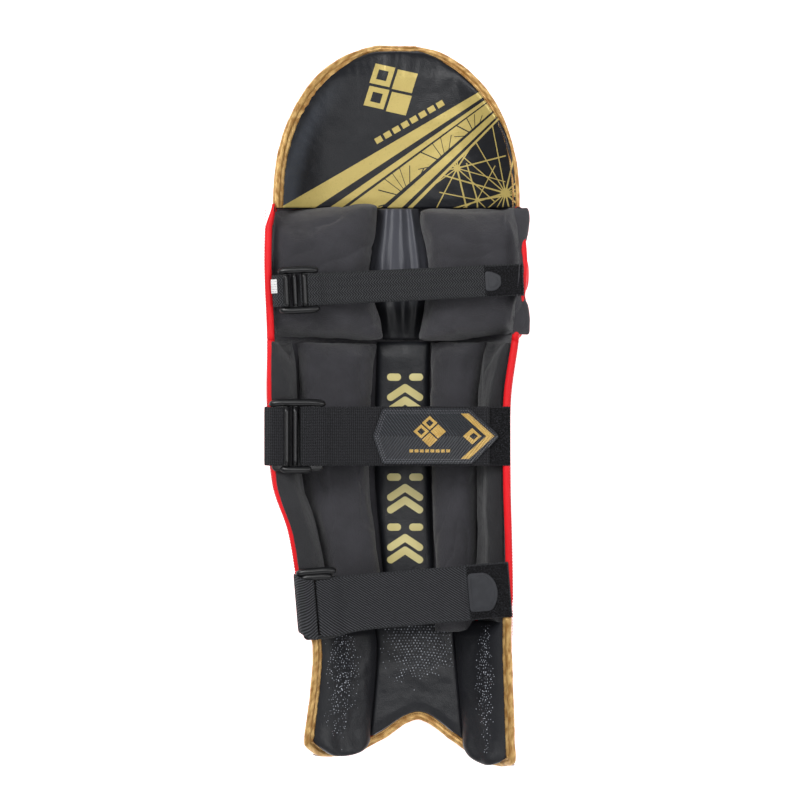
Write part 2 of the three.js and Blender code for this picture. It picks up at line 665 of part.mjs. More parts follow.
function strapBuckle(strap, { leftBar, middleBar, rightBar, buckleLeft, buckleRight }) {
  const slotHalf = strap.width / 2 + BUCKLE_PLAY;
  const contours = [
    roundedCorners(buckleLeft, buckleRight, slotHalf + BUCKLE_RAIL, BUCKLE_CORNER),
    boxCorners(leftBar, middleBar, slotHalf),
    boxCorners(middleBar + BUCKLE_BAR, rightBar, slotHalf),
  ];
  const mesh = new solids.CrossSection(contours, "EvenOdd").extrude(BUCKLE_PLATE).getMesh();
  const geometry = new THREE.BufferGeometry();
  geometry.setAttribute("position", new THREE.Float32BufferAttribute(mesh.vertProperties, 3));
  geometry.setIndex(Array.from(mesh.triVerts));
  geometry.computeVertexNormals();
  return geometry.translate(0, 0, plateLow);
}

function roundedCorners(left, right, half, corner) {
  const centres = [
    [right - corner, half - corner],
    [left + corner, half - corner],
    [left + corner, corner - half],
    [right - corner, corner - half],
  ];
  return centres.flatMap(([x, y], quarter) =>
    spread(quarter, quarter + 1, 4).map((turn) => {
      const angle = (turn * Math.PI) / 2;
      return [x + corner * Math.cos(angle), y + corner * Math.sin(angle)];
    }),
  );
}

const boxCorners = (left, right, half) => [[left, -half], [right, -half], [right, half], [left, half]];

const plateOf = (shape, thickness, low) =>
  new THREE.ExtrudeGeometry(shape, { depth: thickness, bevelEnabled: false }).translate(0, 0, low);

const outline = (corners) => new THREE.Shape(corners.map(([x, y]) => new THREE.Vector2(x, y)));

// The webbing that carries an anchor down the outside of the left wing.
function anchorTab(strap, { across }) {
  const slope = Math.tan(THREE.MathUtils.degToRad(strap.slope));
  const middle = strap.at * PAD_LENGTH + across(strap.anchor) * slope;
  const [from, to] = [middle - strap.width / 2, middle + strap.width / 2];
  const us = [-1, -1 + 2 / COLUMNS, -1 + 4 / COLUMNS];
  return solidBetween(
    us,
    shin.rowsBetween(from, to),
    (u, v) => shin.outside(u, v, TAB_GAP + WEBBING),
    (u, v) => shin.outside(u, v, TAB_GAP),
  );
}

// The rubber tips and the leather patch, drawn from the end of the returning layer. x is in
// millimetres, y is a share of half the strap's width.
const KNEE_TIP = [[0.3, 0.62], [7, 0.6], [17, 0.3], [17, -0.3], [11, -0.62], [0.3, -0.62]];
const ANKLE_TIP = [[0.3, 0.7], [20, 0.7], [28, 0.42], [31, 0.05], [30, -0.3], [24, -0.7], [0.3, -0.7]];
const CALF_PATCH = [[-121, 0], [-111, -0.95], [-18, -0.95], [11, 0], [-21, 0.95], [-111, 0.95]];

function endPiece(strap, { across }, corners, low) {
  const end = across(strap.returned);
  const shape = outline(corners.map(([x, y]) => [end + x, (y * strap.width) / 2]));
  return plateOf(shape, TIP_PLATE, low);
}

// The plain sewn-in label, lying on the slope of the knee strap's anchor.
function sizeLabel(strap, { across, buckleLeft }) {
  const from = new THREE.Vector2(across(strap.anchor), overStrap);
  const to = new THREE.Vector2(buckleLeft - PLAY, overPlate);
  const angle = Math.atan2(to.y - from.y, to.x - from.x);
  const length = to.distanceTo(from) - 1;
  const lift = WEBBING / 2 + PLAY + LABEL_PLATE / 2;
  return new THREE.BoxGeometry(length, LABEL_LENGTH, LABEL_PLATE)
    .translate(length / 2 + 0.5, 0, lift)
    .rotateY(-angle)
    .translate(from.x, 0, from.y);
}

const materials = {
  facing: { color: 0xd81722, roughness: 0.42, metalness: 0 },
  lining: { color: 0x17181a, roughness: 0.9, metalness: 0 },
  leather: { color: 0x1a1c20, roughness: 0.45, metalness: 0 },
  gold: { color: 0xb4884a, roughness: 0.4, metalness: 0.3 },
  webbing: { color: 0x101113, roughness: 0.95, metalness: 0 },
  plastic: { color: 0x1c1d20, roughness: 0.4, metalness: 0 },
  rubber: { color: 0x3c3d40, roughness: 0.8, metalness: 0 },
  label: { color: 0xe8e8e6, roughness: 0.8, metalness: 0 },
};

const pad = new THREE.Group();
function add(name, geometry, material) {
  const mesh = new THREE.Mesh(geometry, new THREE.MeshStandardMaterial(materials[material]));
  mesh.name = name;
  pad.add(mesh);
  return mesh;
}

add("shin_shell", shin.solid(), "facing");
add("knee_shell", knee.solid(), "facing");
add("top_flap", flap.solid(), "facing");
for (let k = 0; k < RIB_COUNT; k++) add(`shin_rib_${k + 1}`, shinRib(k), "facing");
for (let k = 0; k < ROLL_COUNT; k++) add(`knee_roll_${k + 1}`, kneeRoll(k), "facing");

for (const row of SHIN_PADS) {
  const cover = row.thick === CHANNEL ? "leather" : "lining";
  add(row.name, stuffed(shin, { ...row, from: BOLSTER_LOW, to: BOLSTER_HIGH }), cover);
}
for (const row of FOOT_PADS) {
  add(row.name, stuffed(shin, { ...row, from: FOOT_LOW, to: FOOT_HIGH }), "leather");
}
add("knee_cushion_left", kneeCushion("left"), "lining");
add("knee_cushion_right", kneeCushion("right"), "lining");
add("knee_cup", kneeCup(), "leather");
add("knee_wing_edge", kneeWingEdge(), "lining");
add("flap_lining", flapLining(), "leather");
add("flap_piping", flapPiping(), "gold");
add("foot_piping", footPiping(), "gold");
const ends = {
  ankle: ["ankle_strap_tip", ANKLE_TIP, WEBBING + PLAY, "rubber"],
  calf: ["calf_strap_patch", CALF_PATCH, strapTop, "leather"],
  knee: ["knee_strap_tip", KNEE_TIP, WEBBING + PLAY, "rubber"],
};
for (const strap of STRAPS) {
  const set = strapSet(strap);
  const [endName, corners, low, cover] = ends[strap.name];
  add(`${strap.name}_strap`, set.lay(strapBand(strap, set)), "webbing");
  add(`${strap.name}_buckle`, set.lay(strapBuckle(strap, set)), "plastic");
  add(`${strap.name}_anchor`, set.lay(strapAnchor(strap, set)), "webbing");
  add(endName, set.lay(endPiece(strap, set, corners, low)), cover);
  if (strap.name === "knee") add("size_label", set.lay(sizeLabel(strap, set)), "label");
  else add(`${strap.name}_anchor_tab`, anchorTab(strap, set), "webbing");
}

// The origin is the middle of the underside.
const box = new THREE.Box3().setFromObject(pad);
const centre = box.getCenter(new THREE.Vector3());
for (const mesh of pad.children) mesh.geometry.translate(-centre.x, -centre.y, -box.min.z);

export default pad;
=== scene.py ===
# %% [markdown]
# # A cricket batting pad, in cells
#
# A batting pad guards the shin, the knee and the lower thigh. Outside it is a ribbed shell of
# synthetic leather. Inside it is a soft bed: two long bolsters, a smooth channel for the shin, two
# knee cushions with a gathered cup between them, and a lined flap that rises over the knee. Three
# webbing straps close it behind the leg.
#
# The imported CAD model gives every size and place. Here each of its plain solids gets its real
# surface: stuffed cloth, woven webbing, moulded buckles, stitching and print.

import math

import bmesh
import bpy
import numpy as np
from mathutils import Matrix, Vector, noise


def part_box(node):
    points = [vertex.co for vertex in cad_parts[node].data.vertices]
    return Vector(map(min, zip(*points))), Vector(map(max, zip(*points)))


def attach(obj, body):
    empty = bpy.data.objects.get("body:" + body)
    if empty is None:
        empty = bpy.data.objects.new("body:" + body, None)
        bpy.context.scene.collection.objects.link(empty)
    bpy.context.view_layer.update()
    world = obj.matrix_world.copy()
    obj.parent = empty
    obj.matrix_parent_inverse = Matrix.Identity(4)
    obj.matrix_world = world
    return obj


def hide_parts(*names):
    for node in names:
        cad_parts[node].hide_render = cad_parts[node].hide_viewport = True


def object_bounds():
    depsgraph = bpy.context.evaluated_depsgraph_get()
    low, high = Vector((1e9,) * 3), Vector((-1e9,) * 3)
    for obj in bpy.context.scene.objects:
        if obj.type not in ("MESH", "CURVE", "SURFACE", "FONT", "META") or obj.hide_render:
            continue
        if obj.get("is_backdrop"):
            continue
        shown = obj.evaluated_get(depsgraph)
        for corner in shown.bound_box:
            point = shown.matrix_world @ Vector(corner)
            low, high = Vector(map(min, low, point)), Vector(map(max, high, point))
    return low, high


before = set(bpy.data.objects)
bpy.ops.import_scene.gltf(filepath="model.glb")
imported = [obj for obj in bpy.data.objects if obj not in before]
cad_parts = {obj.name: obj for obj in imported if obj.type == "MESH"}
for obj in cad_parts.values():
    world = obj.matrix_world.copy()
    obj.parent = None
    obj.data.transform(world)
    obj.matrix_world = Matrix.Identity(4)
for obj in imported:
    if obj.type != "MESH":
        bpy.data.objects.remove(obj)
cad_low, cad_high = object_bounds()
print("frame:", len(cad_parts), "nodes, box", [round(v, 3) for v in (*cad_low, *cad_high)])

# %% [markdown]
# ## The pad's own sizes
#
# The walls follow the same few sizes and short tables as the CAD source, in millimetres from the
# tip of the foot. A table row is one cross-section, and a smooth curve runs through the rows, so a
# fine mesh here lies on the coarse facets of the CAD. The first knee shell row fixes the shift
# between the two frames.

# %% Sizes of the padded walls
PAD_LENGTH = 750.0
PAD_WIDTH = 262.0
PAD_DEPTH = 110.0
HALF_WIDTH = PAD_WIDTH / 2
WALL_FRONT = 12.0
WALL_LIP = 7.0
FULLNESS = 2.6
KNEE_LOW = 0.592 * PAD_LENGTH
KNEE_TOP = 0.7746 * PAD_LENGTH
HEM_REACH = 140.0
PIPING = 7.0
GAP = 0.4
SEAM = 0.5
HEM_INSET = PIPING + GAP
CAD_COLUMNS = 24

SECTIONS = [
    dict(at=0.0, middle=0.202, left=0.71, right=0.97, front=0.09, lip=0.54, wrap=66),
    dict(at=0.16, middle=0.186, left=0.645, right=0.945, front=0.1, lip=0.7, wrap=74),
    dict(at=0.232, middle=0.162, left=0.74, right=0.945, front=0.11, lip=0.83, wrap=88),
    dict(at=0.326, middle=0.123, left=0.835, right=0.938, front=0.125, lip=0.9, wrap=97),
    dict(at=0.393, middle=0.099, left=0.962, right=0.93, front=0.135, lip=0.94, wrap=100),
    dict(at=0.509, middle=0.083, left=1.006, right=0.932, front=0.155, lip=0.95, wrap=100),
    dict(at=0.592, middle=0.075, left=1.002, right=0.994, front=0.2, lip=0.97, wrap=98),
    dict(at=0.692, middle=0.044, left=1.021, right=1.06, front=0.215, lip=1.0, wrap=95),
    dict(at=0.775, middle=0.024, left=1.01, right=1.017, front=0.215, lip=0.97, wrap=88),
]
HEM = [
    dict(at=-1.0, rise=0.026),
    dict(at=-0.8, rise=0.0145),
    dict(at=-0.52, rise=0.019),
    dict(at=-0.33, rise=0.036),
    dict(at=0.0, rise=0.0657),
    dict(at=0.33, rise=0.036),
    dict(at=0.55, rise=0.013),
    dict(at=0.8, rise=0.002),
    dict(at=1.0, rise=0.003),
]

# %% Read a table on a smooth curve
def read_table(table, at):
    """Named columns at places between a table's rows, on a smooth curve through them."""
    ats = np.array([row["at"] for row in table])
    at = np.asarray(at, float)
    i = np.clip(np.searchsorted(ats, at), 1, len(ats) - 1)
    before, start, end, beyond = (np.clip(i + k, 0, len(ats) - 1) for k in (-2, -1, 0, 1))
    span = ats[end] - ats[start]
    t = np.clip((at - ats[start]) / span, 0, 1)
    read = {}
    for key in table[0]:
        y = np.array([float(row[key]) for row in table])
        slope_in = (y[end] - y[before]) / (ats[end] - ats[before]) * span
        slope_out = (y[beyond] - y[start]) / (ats[beyond] - ats[start]) * span
        read[key] = (
            y[start] * (2 * t**3 - 3 * t**2 + 1)
            + slope_in * (t**3 - 2 * t**2 + t)
            + y[end] * (3 * t**2 - 2 * t**3)
            + slope_out * (t**3 - t**2)
        )
    return read


def mix(a, b, share):
    return a + (b - a) * share


def share_of(value, low, high):
    return np.clip((np.asarray(value, float) - low) / (high - low), 0, 1)


def smooth(value, low, high):
    t = share_of(value, low, high)
    return t * t * (3 - 2 * t)


def crown(s, squareness=2.0):
    """How full a stuffed piece is at a share of its way across: 0 at both seams, 1 between."""
    return np.sqrt(np.maximum(0, 1 - np.abs(2 * np.asarray(s, float) - 1) ** squareness))


# %% A cross-section, walked at even steps
def half_section(reach, rise, wrap_degrees, count):
    wrap = math.radians(wrap_degrees)
    a = np.linspace(0, wrap, 40 * count + 1)
    across = np.sin(a) ** (2 / FULLNESS)
    up = 1 - np.sign(np.cos(a)) * np.abs(np.cos(a)) ** (2 / FULLNESS)
    widest = 1.0 if wrap > math.pi / 2 else across[-1]
    x, z = reach * across / widest, rise * up / up[-1]
    walked = np.concatenate([[0], np.cumsum(np.hypot(np.diff(x), np.diff(z)))])
    want = np.linspace(0, walked[-1], count + 1)
    return np.interp(want, walked, x), np.interp(want, walked, z)


def whole_section(row, columns):
    left = half_section(row["left"] + row["middle"], row["lip"] - row["front"], row["wrap"], columns // 2)
    right = half_section(row["right"] - row["middle"], row["lip"] - row["front"], row["wrap"], columns // 2)
    x = np.concatenate([row["middle"] - left[0][::-1], row["middle"] + right[0][1:]])
    z = np.concatenate([row["front"] + left[1][::-1], row["front"] + right[1][1:]])
    return x, z


class Wall:
    """A padded wall. u runs round it from -1 at the left edge to 1 at the right, v runs up it."""

    def __init__(self, heights, section_at, shift_at, columns=120):
        self.v = np.asarray(heights, float)
        self.columns = columns
        lines = [whole_section(section_at(v), columns) for v in self.v]
        x = np.array([line[0] for line in lines])
        z = np.array([line[1] for line in lines])
        u = np.linspace(-1, 1, columns + 1)
        dx, dz = np.gradient(x, axis=1), np.gradient(z, axis=1)
        size = np.hypot(dx, dz)
        self.normal = np.stack([-dz / size, np.zeros_like(x), dx / size], axis=-1)
        y = self.v[:, None] + shift_at(u[None, :], self.v[:, None])
        self.outer = np.stack([x, y, z], axis=-1)
        self.inner = self.outer + self.normal * mix(WALL_FRONT, WALL_LIP, u**2)[None, :, None]

    def read(self, grid, u, v):
        u, v = np.broadcast_arrays(np.asarray(u, float), np.asarray(v, float))
        across = np.clip((u + 1) / 2 * self.columns, 0, self.columns - 1e-6)
        i = across.astype(int)
        j = np.clip(np.searchsorted(self.v, v, side="right") - 1, 0, len(self.v) - 2)
        a = (across - i)[..., None]
        b = share_of(v, self.v[j], self.v[j + 1])[..., None]
        low = mix(grid[j, i], grid[j, i + 1], a)
        return mix(low, mix(grid[j + 1, i], grid[j + 1, i + 1], a), b)

    def inside(self, u, v, distance):
        return self.read(self.inner, u, v) + self.read(self.normal, u, v) * np.asarray(distance)[..., None]

    def outside(self, u, v, distance):
        return self.read(self.outer, u, v) - self.read(self.normal, u, v) * np.asarray(distance)[..., None]


# %% The three walls
def body_section(v):
    row = read_table(SECTIONS, v / PAD_LENGTH)
    sizes = {key: float(row[key]) * HALF_WIDTH for key in ("middle", "left", "right")}
    sizes.update({key: float(row[key]) * PAD_DEPTH for key in ("front", "lip")})
    return {**sizes, "wrap": float(row["wrap"])}


def hem_shift(u, v):
    rise = read_table(HEM, u)["rise"] * PAD_LENGTH + HEM_INSET
    return rise * (1 - share_of(v, 0, HEM_REACH))


FLAP_CURVE = 2.25
FLAP_LAST_ANGLE = math.radians(82)
FLAP_LOW = KNEE_TOP + SEAM / 2
FLAP_HIGH = PAD_LENGTH - PIPING - GAP
FLAP_SIDE_INSET = 3.0
FLAP_MIDDLE = 0.024 * HALF_WIDTH


def flap_height(angle):
    up = (np.sin(angle) / math.sin(FLAP_LAST_ANGLE)) ** (2 / FLAP_CURVE)
    return mix(FLAP_LOW, FLAP_HIGH, up)


def flap_section(v):
    up = float(share_of(v, FLAP_LOW, FLAP_HIGH))
    angle = math.asin(up ** (FLAP_CURVE / 2) * math.sin(FLAP_LAST_ANGLE))
    half = (HALF_WIDTH - FLAP_SIDE_INSET) * math.cos(angle) ** (2 / FLAP_CURVE)
    front = mix(0.215, 0.27, up) * PAD_DEPTH
    return dict(
        middle=FLAP_MIDDLE, left=half - FLAP_MIDDLE, right=half + FLAP_MIDDLE,
        front=front, lip=front + 0.62 * PAD_DEPTH * (half / HALF_WIDTH) ** 2, wrap=66,
    )


def level(u, v):
    return np.zeros(np.broadcast(u, v).shape)


shin = Wall(np.linspace(0, KNEE_LOW - SEAM / 2, 110), body_section, hem_shift)
knee = Wall(np.linspace(KNEE_LOW + SEAM / 2, KNEE_TOP - SEAM / 2, 36), body_section, level)
flap = Wall(flap_height(np.linspace(0, FLAP_LAST_ANGLE, 48)), flap_section, level)

knee_facets = Wall(
    np.linspace(KNEE_LOW + SEAM / 2, KNEE_TOP - SEAM / 2, 4), body_section, level, CAD_COLUMNS
)
cad_knee = Vector(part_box("knee_shell")[0]) * 1000
facet_low = np.minimum(knee_facets.outer.min(axis=(0, 1)), knee_facets.inner.min(axis=(0, 1)))
SHIFT = np.array(cad_knee) - facet_low
print("shift between the frames, mm:", SHIFT.round(2))

# %% [markdown]
# ## Meshes from sheets
#
# Nearly every soft piece here is two sheets of points sewn together round their border: an under
# sheet that lies on the wall and an upper sheet that stands proud of it. One helper closes such a
# pair, with a small round bulge at the seam, and another puts the result into the scene in metres.

# %% Sheets, closed round their border
def grid_faces(rows, cols, start, upwards):
    j, i = np.mgrid[0 : rows - 1, 0 : cols - 1]
    a = start + j * cols + i
    quads = np.stack([a, a + 1, a + 1 + cols, a + cols], axis=-1).reshape(-1, 4)
    return quads if upwards else quads[:, ::-1]


def closed_sheet(low, high, bulge=0.0, steps=3):
    rows, cols = low.shape[:2]
    points = [low.reshape(-1, 3), high.reshape(-1, 3)]
    size = rows * cols
    faces = [grid_faces(rows, cols, 0, False), grid_faces(rows, cols, size, True)]
    border = [(0, i) for i in range(cols - 1)] + [(j, cols - 1) for j in range(rows - 1)]
    border += [(rows - 1, i) for i in range(cols - 1, 0, -1)] + [(j, 0) for j in range(rows - 1, 0, -1)]
    j, i = np.array(border).T
    middle = (low + high) / 2
    out = middle[j, i] - middle[np.clip(j, 1, rows - 2), np.clip(i, 1, cols - 2)]
    out /= np.maximum(np.linalg.norm(out, axis=1, keepdims=True), 1e-9)
    rings = [j * cols + i]
    for k in range(1, steps):
        t = k / steps
        ring = mix(low[j, i], high[j, i], t) + out * bulge * math.sin(math.pi * t)
        rings.append(np.arange(len(border)) + sum(len(p) for p in points))
        points.append(ring)
    rings.append(rings[0] + size)
    for below, above in zip(rings, rings[1:]):
        faces.append(np.stack([below, np.roll(below, -1), np.roll(above, -1), above], axis=-1))
    return np.concatenate(points), np.concatenate(faces)


def to_row(points):
    return (np.asarray(points, float) + SHIFT) * 0.001


def add_mesh(name, points, faces, sharp=None):
    """A new object whose points are given in the frame, in metres."""
    mesh = bpy.data.meshes.new(name)
    mesh.from_pydata(np.asarray(points).tolist(), [], [list(map(int, f)) for f in faces])
    mesh.update()
    mesh.shade_smooth()
    if sharp:
        mesh.set_sharp_from_angle(angle=math.radians(sharp))
    piece = bpy.data.objects.new(name, mesh)
    bpy.context.scene.collection.objects.link(piece)
    return piece


def sewn(name, low, high, bulge=0.0, steps=3, sharp=None):
    points, faces = closed_sheet(low, high, bulge, steps)
    return add_mesh(name, to_row(points), faces, sharp)


def walk(points):
    return np.concatenate([[0], np.cumsum(np.linalg.norm(np.diff(points, axis=0), axis=1))])


def evenly(points, step):
    """The same path, cut at equal steps."""
    walked = walk(points)
    want = np.linspace(0, walked[-1], max(2, int(round(walked[-1] / step))))
    return np.stack([np.interp(want, walked, points[:, k]) for k in range(points.shape[1])], -1)


def unit(vectors):
    return vectors / np.maximum(np.linalg.norm(vectors, axis=-1, keepdims=True), 1e-9)


def points_of(mesh):
    flat = np.empty(len(mesh.vertices) * 3, np.float32)
    mesh.vertices.foreach_get("co", flat)
    return flat.reshape(-1, 3).astype(float)


def normals_of(mesh):
    flat = np.empty(len(mesh.vertices) * 3, np.float32)
    mesh.vertices.foreach_get("normal", flat)
    return flat.reshape(-1, 3).astype(float)


def put_points(mesh, points):
    mesh.vertices.foreach_set("co", np.asarray(points, np.float32).ravel())
    mesh.update()


def ripple(points, size, seed, depth=3):
    """Smooth noise from -1 to 1 at points in millimetres, with features of about this size."""
    flat = np.asarray(points, float).reshape(-1, 3) / size + seed * 17.3
    values = np.array([noise.fractal(Vector(p), 1.0, 2.0, depth) for p in flat])
    return values.reshape(np.asarray(points).shape[:-1])


# %% [markdown]
# ## Camera, light and floor
#
# The pad lies on its front and the camera looks straight down on it from twenty metres, so that the
# straps and the foot are drawn at one scale. Black cloth shows its form by soft reflections alone,
# so the lights are broad: one from the upper left, a weaker one from the lower right and a pale
# surround.

# %% Camera
LIPS = 0.09
VIEW_CENTRE = (0.0037, 0.0062)
VIEW_HEIGHT = 0.8298
CAMERA_DISTANCE = 20.0

camera_data = bpy.data.cameras.new("camera")
camera_data.lens = camera_data.sensor_width * CAMERA_DISTANCE / VIEW_HEIGHT
camera_data.clip_end = 40
camera = bpy.data.objects.new("camera", camera_data)
camera.location = (*VIEW_CENTRE, LIPS + CAMERA_DISTANCE)
bpy.context.scene.collection.objects.link(camera)
bpy.context.scene.camera = camera
bpy.context.scene.view_settings.view_transform = "Standard"
print("lens, mm:", round(camera_data.lens, 1))

# %% Lights
def area_light(name, place, size, power, colour=(1, 1, 1)):
    data = bpy.data.lights.new(name, "AREA")
    data.shape, data.size, data.size_y = "RECTANGLE", *size
    data.energy, data.color = power, colour
    lamp = bpy.data.objects.new(name, data)
    lamp.location = place
    lamp.rotation_euler = (-Vector(place)).to_track_quat("-Z", "Y").to_euler()
    bpy.context.scene.collection.objects.link(lamp)


area_light("key_light", (-1.3, 1.2, 2.4), (1.2, 1.2), 50)
area_light("fill_light", (1.6, -0.2, 2.1), (1.0, 2.0), 18)
area_light("foot_light", (0.0, -2.2, 1.6), (2.0, 0.8), 8)
area_light("overhead_light", (0.1, 0.5, 3.2), (0.9, 0.9), 14)

world = bpy.data.worlds.new("surround")
world.use_nodes = True
world.node_tree.nodes["Background"].inputs["Color"].default_value = (0.95, 0.97, 1.0, 1)
world.node_tree.nodes["Background"].inputs["Strength"].default_value = 0.26
bpy.context.scene.world = world

floor_mesh = bpy.data.meshes.new("floor")
floor_mesh.from_pydata([(-6, -6, 0), (6, -6, 0), (6, 6, 0), (-6, 6, 0)], [], [(0, 1, 2, 3)])
floor = bpy.data.objects.new("floor", floor_mesh)
floor.location.z = -0.0005
bpy.context.scene.collection.objects.link(floor)
paper = bpy.data.materials.new("white_paper")
paper.use_nodes = True
paper_shader = paper.node_tree.nodes["Principled BSDF"]
paper_shader.inputs["Base Color"].default_value = (0.9, 0.9, 0.9, 1)
paper_shader.inputs["Roughness"].default_value = 0.9
paper_shader.inputs["Emission Color"].default_value = (1, 1, 1, 1)
paper_shader.inputs["Emission Strength"].default_value = 0.85
floor_mesh.materials.append(paper)
floor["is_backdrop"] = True

# %% [markdown]
# ## Finishes written as arithmetic
#
# A weave, a print or a grain is a sum over a place on the surface. The small class below wraps the
# output of a shader node so that such sums read like ordinary code. Each finish starts from it and
# ends in a colour, a roughness or a bump.

# %% Arithmetic on shader nodes
class Amount:
    """A number inside a finish, which can be added, multiplied and compared."""

    def __init__(self, finish, socket):
        self.finish, self.socket = finish, socket

    def step(self, operation, *others):
        node = self.finish.add("ShaderNodeMath", operation=operation)
        for slot, value in zip(node.inputs, (self, *others)):
            self.finish.join(value, slot)
        return Amount(self.finish, node.outputs[0])

    def __add__(self, other):
        return self.step("ADD", other)

    def __sub__(self, other):
        return self.step("SUBTRACT", other)

    def __mul__(self, other):
        return self.step("MULTIPLY", other)

    def __truediv__(self, other):
        return self.step("DIVIDE", other)

    __radd__ = __add__
    __rmul__ = __mul__

    def __rsub__(self, other):
        return self * -1 + other

    def sine(self):
        return self.step("SINE")

    def size(self):
        return self.step("ABSOLUTE")

    def above(self, limit):
        return self.step("GREATER_THAN", limit)

    def below(self, limit):
        return self.step("LESS_THAN", limit)

    def most(self, other):
        return self.step("MAXIMUM", other)

    def zigzag(self, width):
        return self.step("PINGPONG", width)

    def between(self, low, high):
        return self.above(low) * self.below(high)

    def eased(self, low, high):
        node = self.finish.add("ShaderNodeMapRange", interpolation_type="SMOOTHSTEP")
        for name, value in (("Value", self), ("From Min", low), ("From Max", high)):
            self.finish.join(value, node.inputs[name])
        return Amount(self.finish, node.outputs[0])


class Finish:
    """A material of one Principled shader, and what feeds it. Places in it are in millimetres."""

    def __init__(self, name, colour, roughness, **sockets):
        self.material = bpy.data.materials.new(name)
        self.material.use_nodes = True
        self.tree = self.material.node_tree
        self.shader = self.tree.nodes["Principled BSDF"]
        self.set("Base Color", (*colour, 1))
        self.set("Roughness", roughness)
        for socket, value in sockets.items():
            self.set(socket.replace("_", " "), value)
        self.grid = None

    def add(self, kind, **settings):
        node = self.tree.nodes.new(kind)
        for key, value in settings.items():
            setattr(node, key, value)
        return node

    def join(self, value, slot):
        if isinstance(value, Amount):
            self.tree.links.new(value.socket, slot)
        elif isinstance(value, bpy.types.NodeSocket):
            self.tree.links.new(value, slot)
        else:
            slot.default_value = value

    def set(self, name, value):
        self.join(value, self.shader.inputs[name])

    def scaled_place(self, source):
        scale = self.add("ShaderNodeVectorMath", operation="SCALE")
        self.join(source, scale.inputs[0])
        scale.inputs["Scale"].default_value = 1000.0
        return scale.outputs[0]

    def place(self):
        """The place in the frame."""
        if self.grid is None:
            self.grid = self.scaled_place(self.add("ShaderNodeTexCoord").outputs["Object"])
        return self.grid

    def cloth_place(self):
        """The place on the piece's own flat pattern, from its UV map."""
        return self.scaled_place(self.add("ShaderNodeTexCoord").outputs["UV"])

    def parts(self, place):
        node = self.add("ShaderNodeSeparateXYZ")
        self.join(place, node.inputs[0])
        return [Amount(self, socket) for socket in node.outputs]

    def noise(self, size, detail=3.0, place=None, roughness=0.5):
        node = self.add("ShaderNodeTexNoise")
        self.join(self.place() if place is None else place, node.inputs["Vector"])
        node.inputs["Scale"].default_value = 1 / size
        node.inputs["Detail"].default_value = detail
        node.inputs["Roughness"].default_value = roughness
        return Amount(self, node.outputs["Fac"])

    def cells(self, size, feature="F1", place=None, randomness=1.0):
        node = self.add("ShaderNodeTexVoronoi", feature=feature)
        self.join(self.place() if place is None else place, node.inputs["Vector"])
        node.inputs["Scale"].default_value = 1 / size
        node.inputs["Randomness"].default_value = randomness
        return Amount(self, node.outputs["Distance"])

    def colours(self, share, low, high):
        node = self.add("ShaderNodeMix", data_type="RGBA")
        self.join(share, node.inputs["Factor"])
        for slot, value in ((node.inputs[6], low), (node.inputs[7], high)):
            self.join((*value, 1) if isinstance(value, tuple) else value, slot)
        return node.outputs[2]

    def bump(self, height, depth, strength=1.0):
        """Raises the surface by a height of 0 to 1 times a depth in millimetres."""
        node = self.add("ShaderNodeBump")
        node.inputs["Strength"].default_value = strength
        node.inputs["Distance"].default_value = depth * 0.001
        self.join(height, node.inputs["Height"])
        slot = self.shader.inputs["Normal"]
        if slot.links:
            self.join(slot.links[0].from_socket, node.inputs["Normal"])
        self.join(node.outputs[0], slot)


def paint(red, green, blue):
    """A colour read off a picture, 0 to 255, as the linear light that shaders use."""
    shares = (c / 255 for c in (red, green, blue))
    return tuple(s / 12.92 if s <= 0.04045 else ((s + 0.055) / 1.055) ** 2.4 for s in shares)


# %% Leathercloth, cotton and satin
def leather(name, colour, roughness, grain=0.14, depth=0.1, **sockets):
    finish = Finish(name, colour, roughness, **sockets)
    pebble = finish.cells(1.1) + finish.noise(0.5, 2) * 0.5
    finish.bump(pebble, grain)
    finish.bump(finish.noise(14, 4), depth * 6)
    return finish


def tinted(finish, colour, spread=0.25, size=60):
    """Lets a plain colour wander a little lighter and darker over the piece."""
    dark = tuple(c * (1 - spread) for c in colour)
    light = tuple(min(1, c * (1 + spread)) for c in colour)
    finish.set("Base Color", finish.colours(finish.noise(size, 3).eased(0.3, 0.7), dark, light))


RED = paint(236, 16, 26)
BLACK_LEATHER = paint(27, 28, 32)
BLACK_CLOTH = paint(52, 51, 56)
DARK_CLOTH = paint(40, 40, 43)
SHADED_CLOTH = paint(30, 30, 33)
GOLD_PRINT = paint(192, 172, 102)
RED_LOW, RED_HIGH = paint(226, 14, 24), paint(240, 20, 32)

red_leather = leather("red_leathercloth", RED, 0.5, Specular_IOR_Level=0.3)
taped = Amount(red_leather, red_leather.add("ShaderNodeAttribute", attribute_name="taped").outputs["Fac"])
shade = red_leather.colours(red_leather.noise(60).eased(0.3, 0.7), RED_LOW, RED_HIGH)
red_leather.set("Base Color", red_leather.colours(taped.above(0.5), shade, DARK_CLOTH))

black_leather = leather("black_leathercloth", BLACK_LEATHER, 0.4, Specular_IOR_Level=0.42)
tinted(black_leather, BLACK_LEATHER, 0.12)


def cotton(name, colour):
    finish = Finish(name, colour, 0.82, Sheen_Weight=0.25, Sheen_Roughness=0.5)
    x, y, z = finish.parts(finish.place())
    thread = 2 * math.pi / 0.9
    weave = (x * thread).sine() * (y * thread).sine() + (z * thread).sine() * 0.5
    finish.bump(weave, 0.12)
    finish.bump(finish.noise(11, 5, roughness=0.6), 1.1)
    tinted(finish, colour, 0.16, 30)
    return finish


black_cotton = cotton("black_cotton", BLACK_CLOTH)
dark_cotton = cotton("dark_cotton", DARK_CLOTH)
# The right side lining takes a darker copy of the cotton: painted shade on that side of the pad.
shaded_cotton = cotton("shaded_cotton", SHADED_CLOTH)

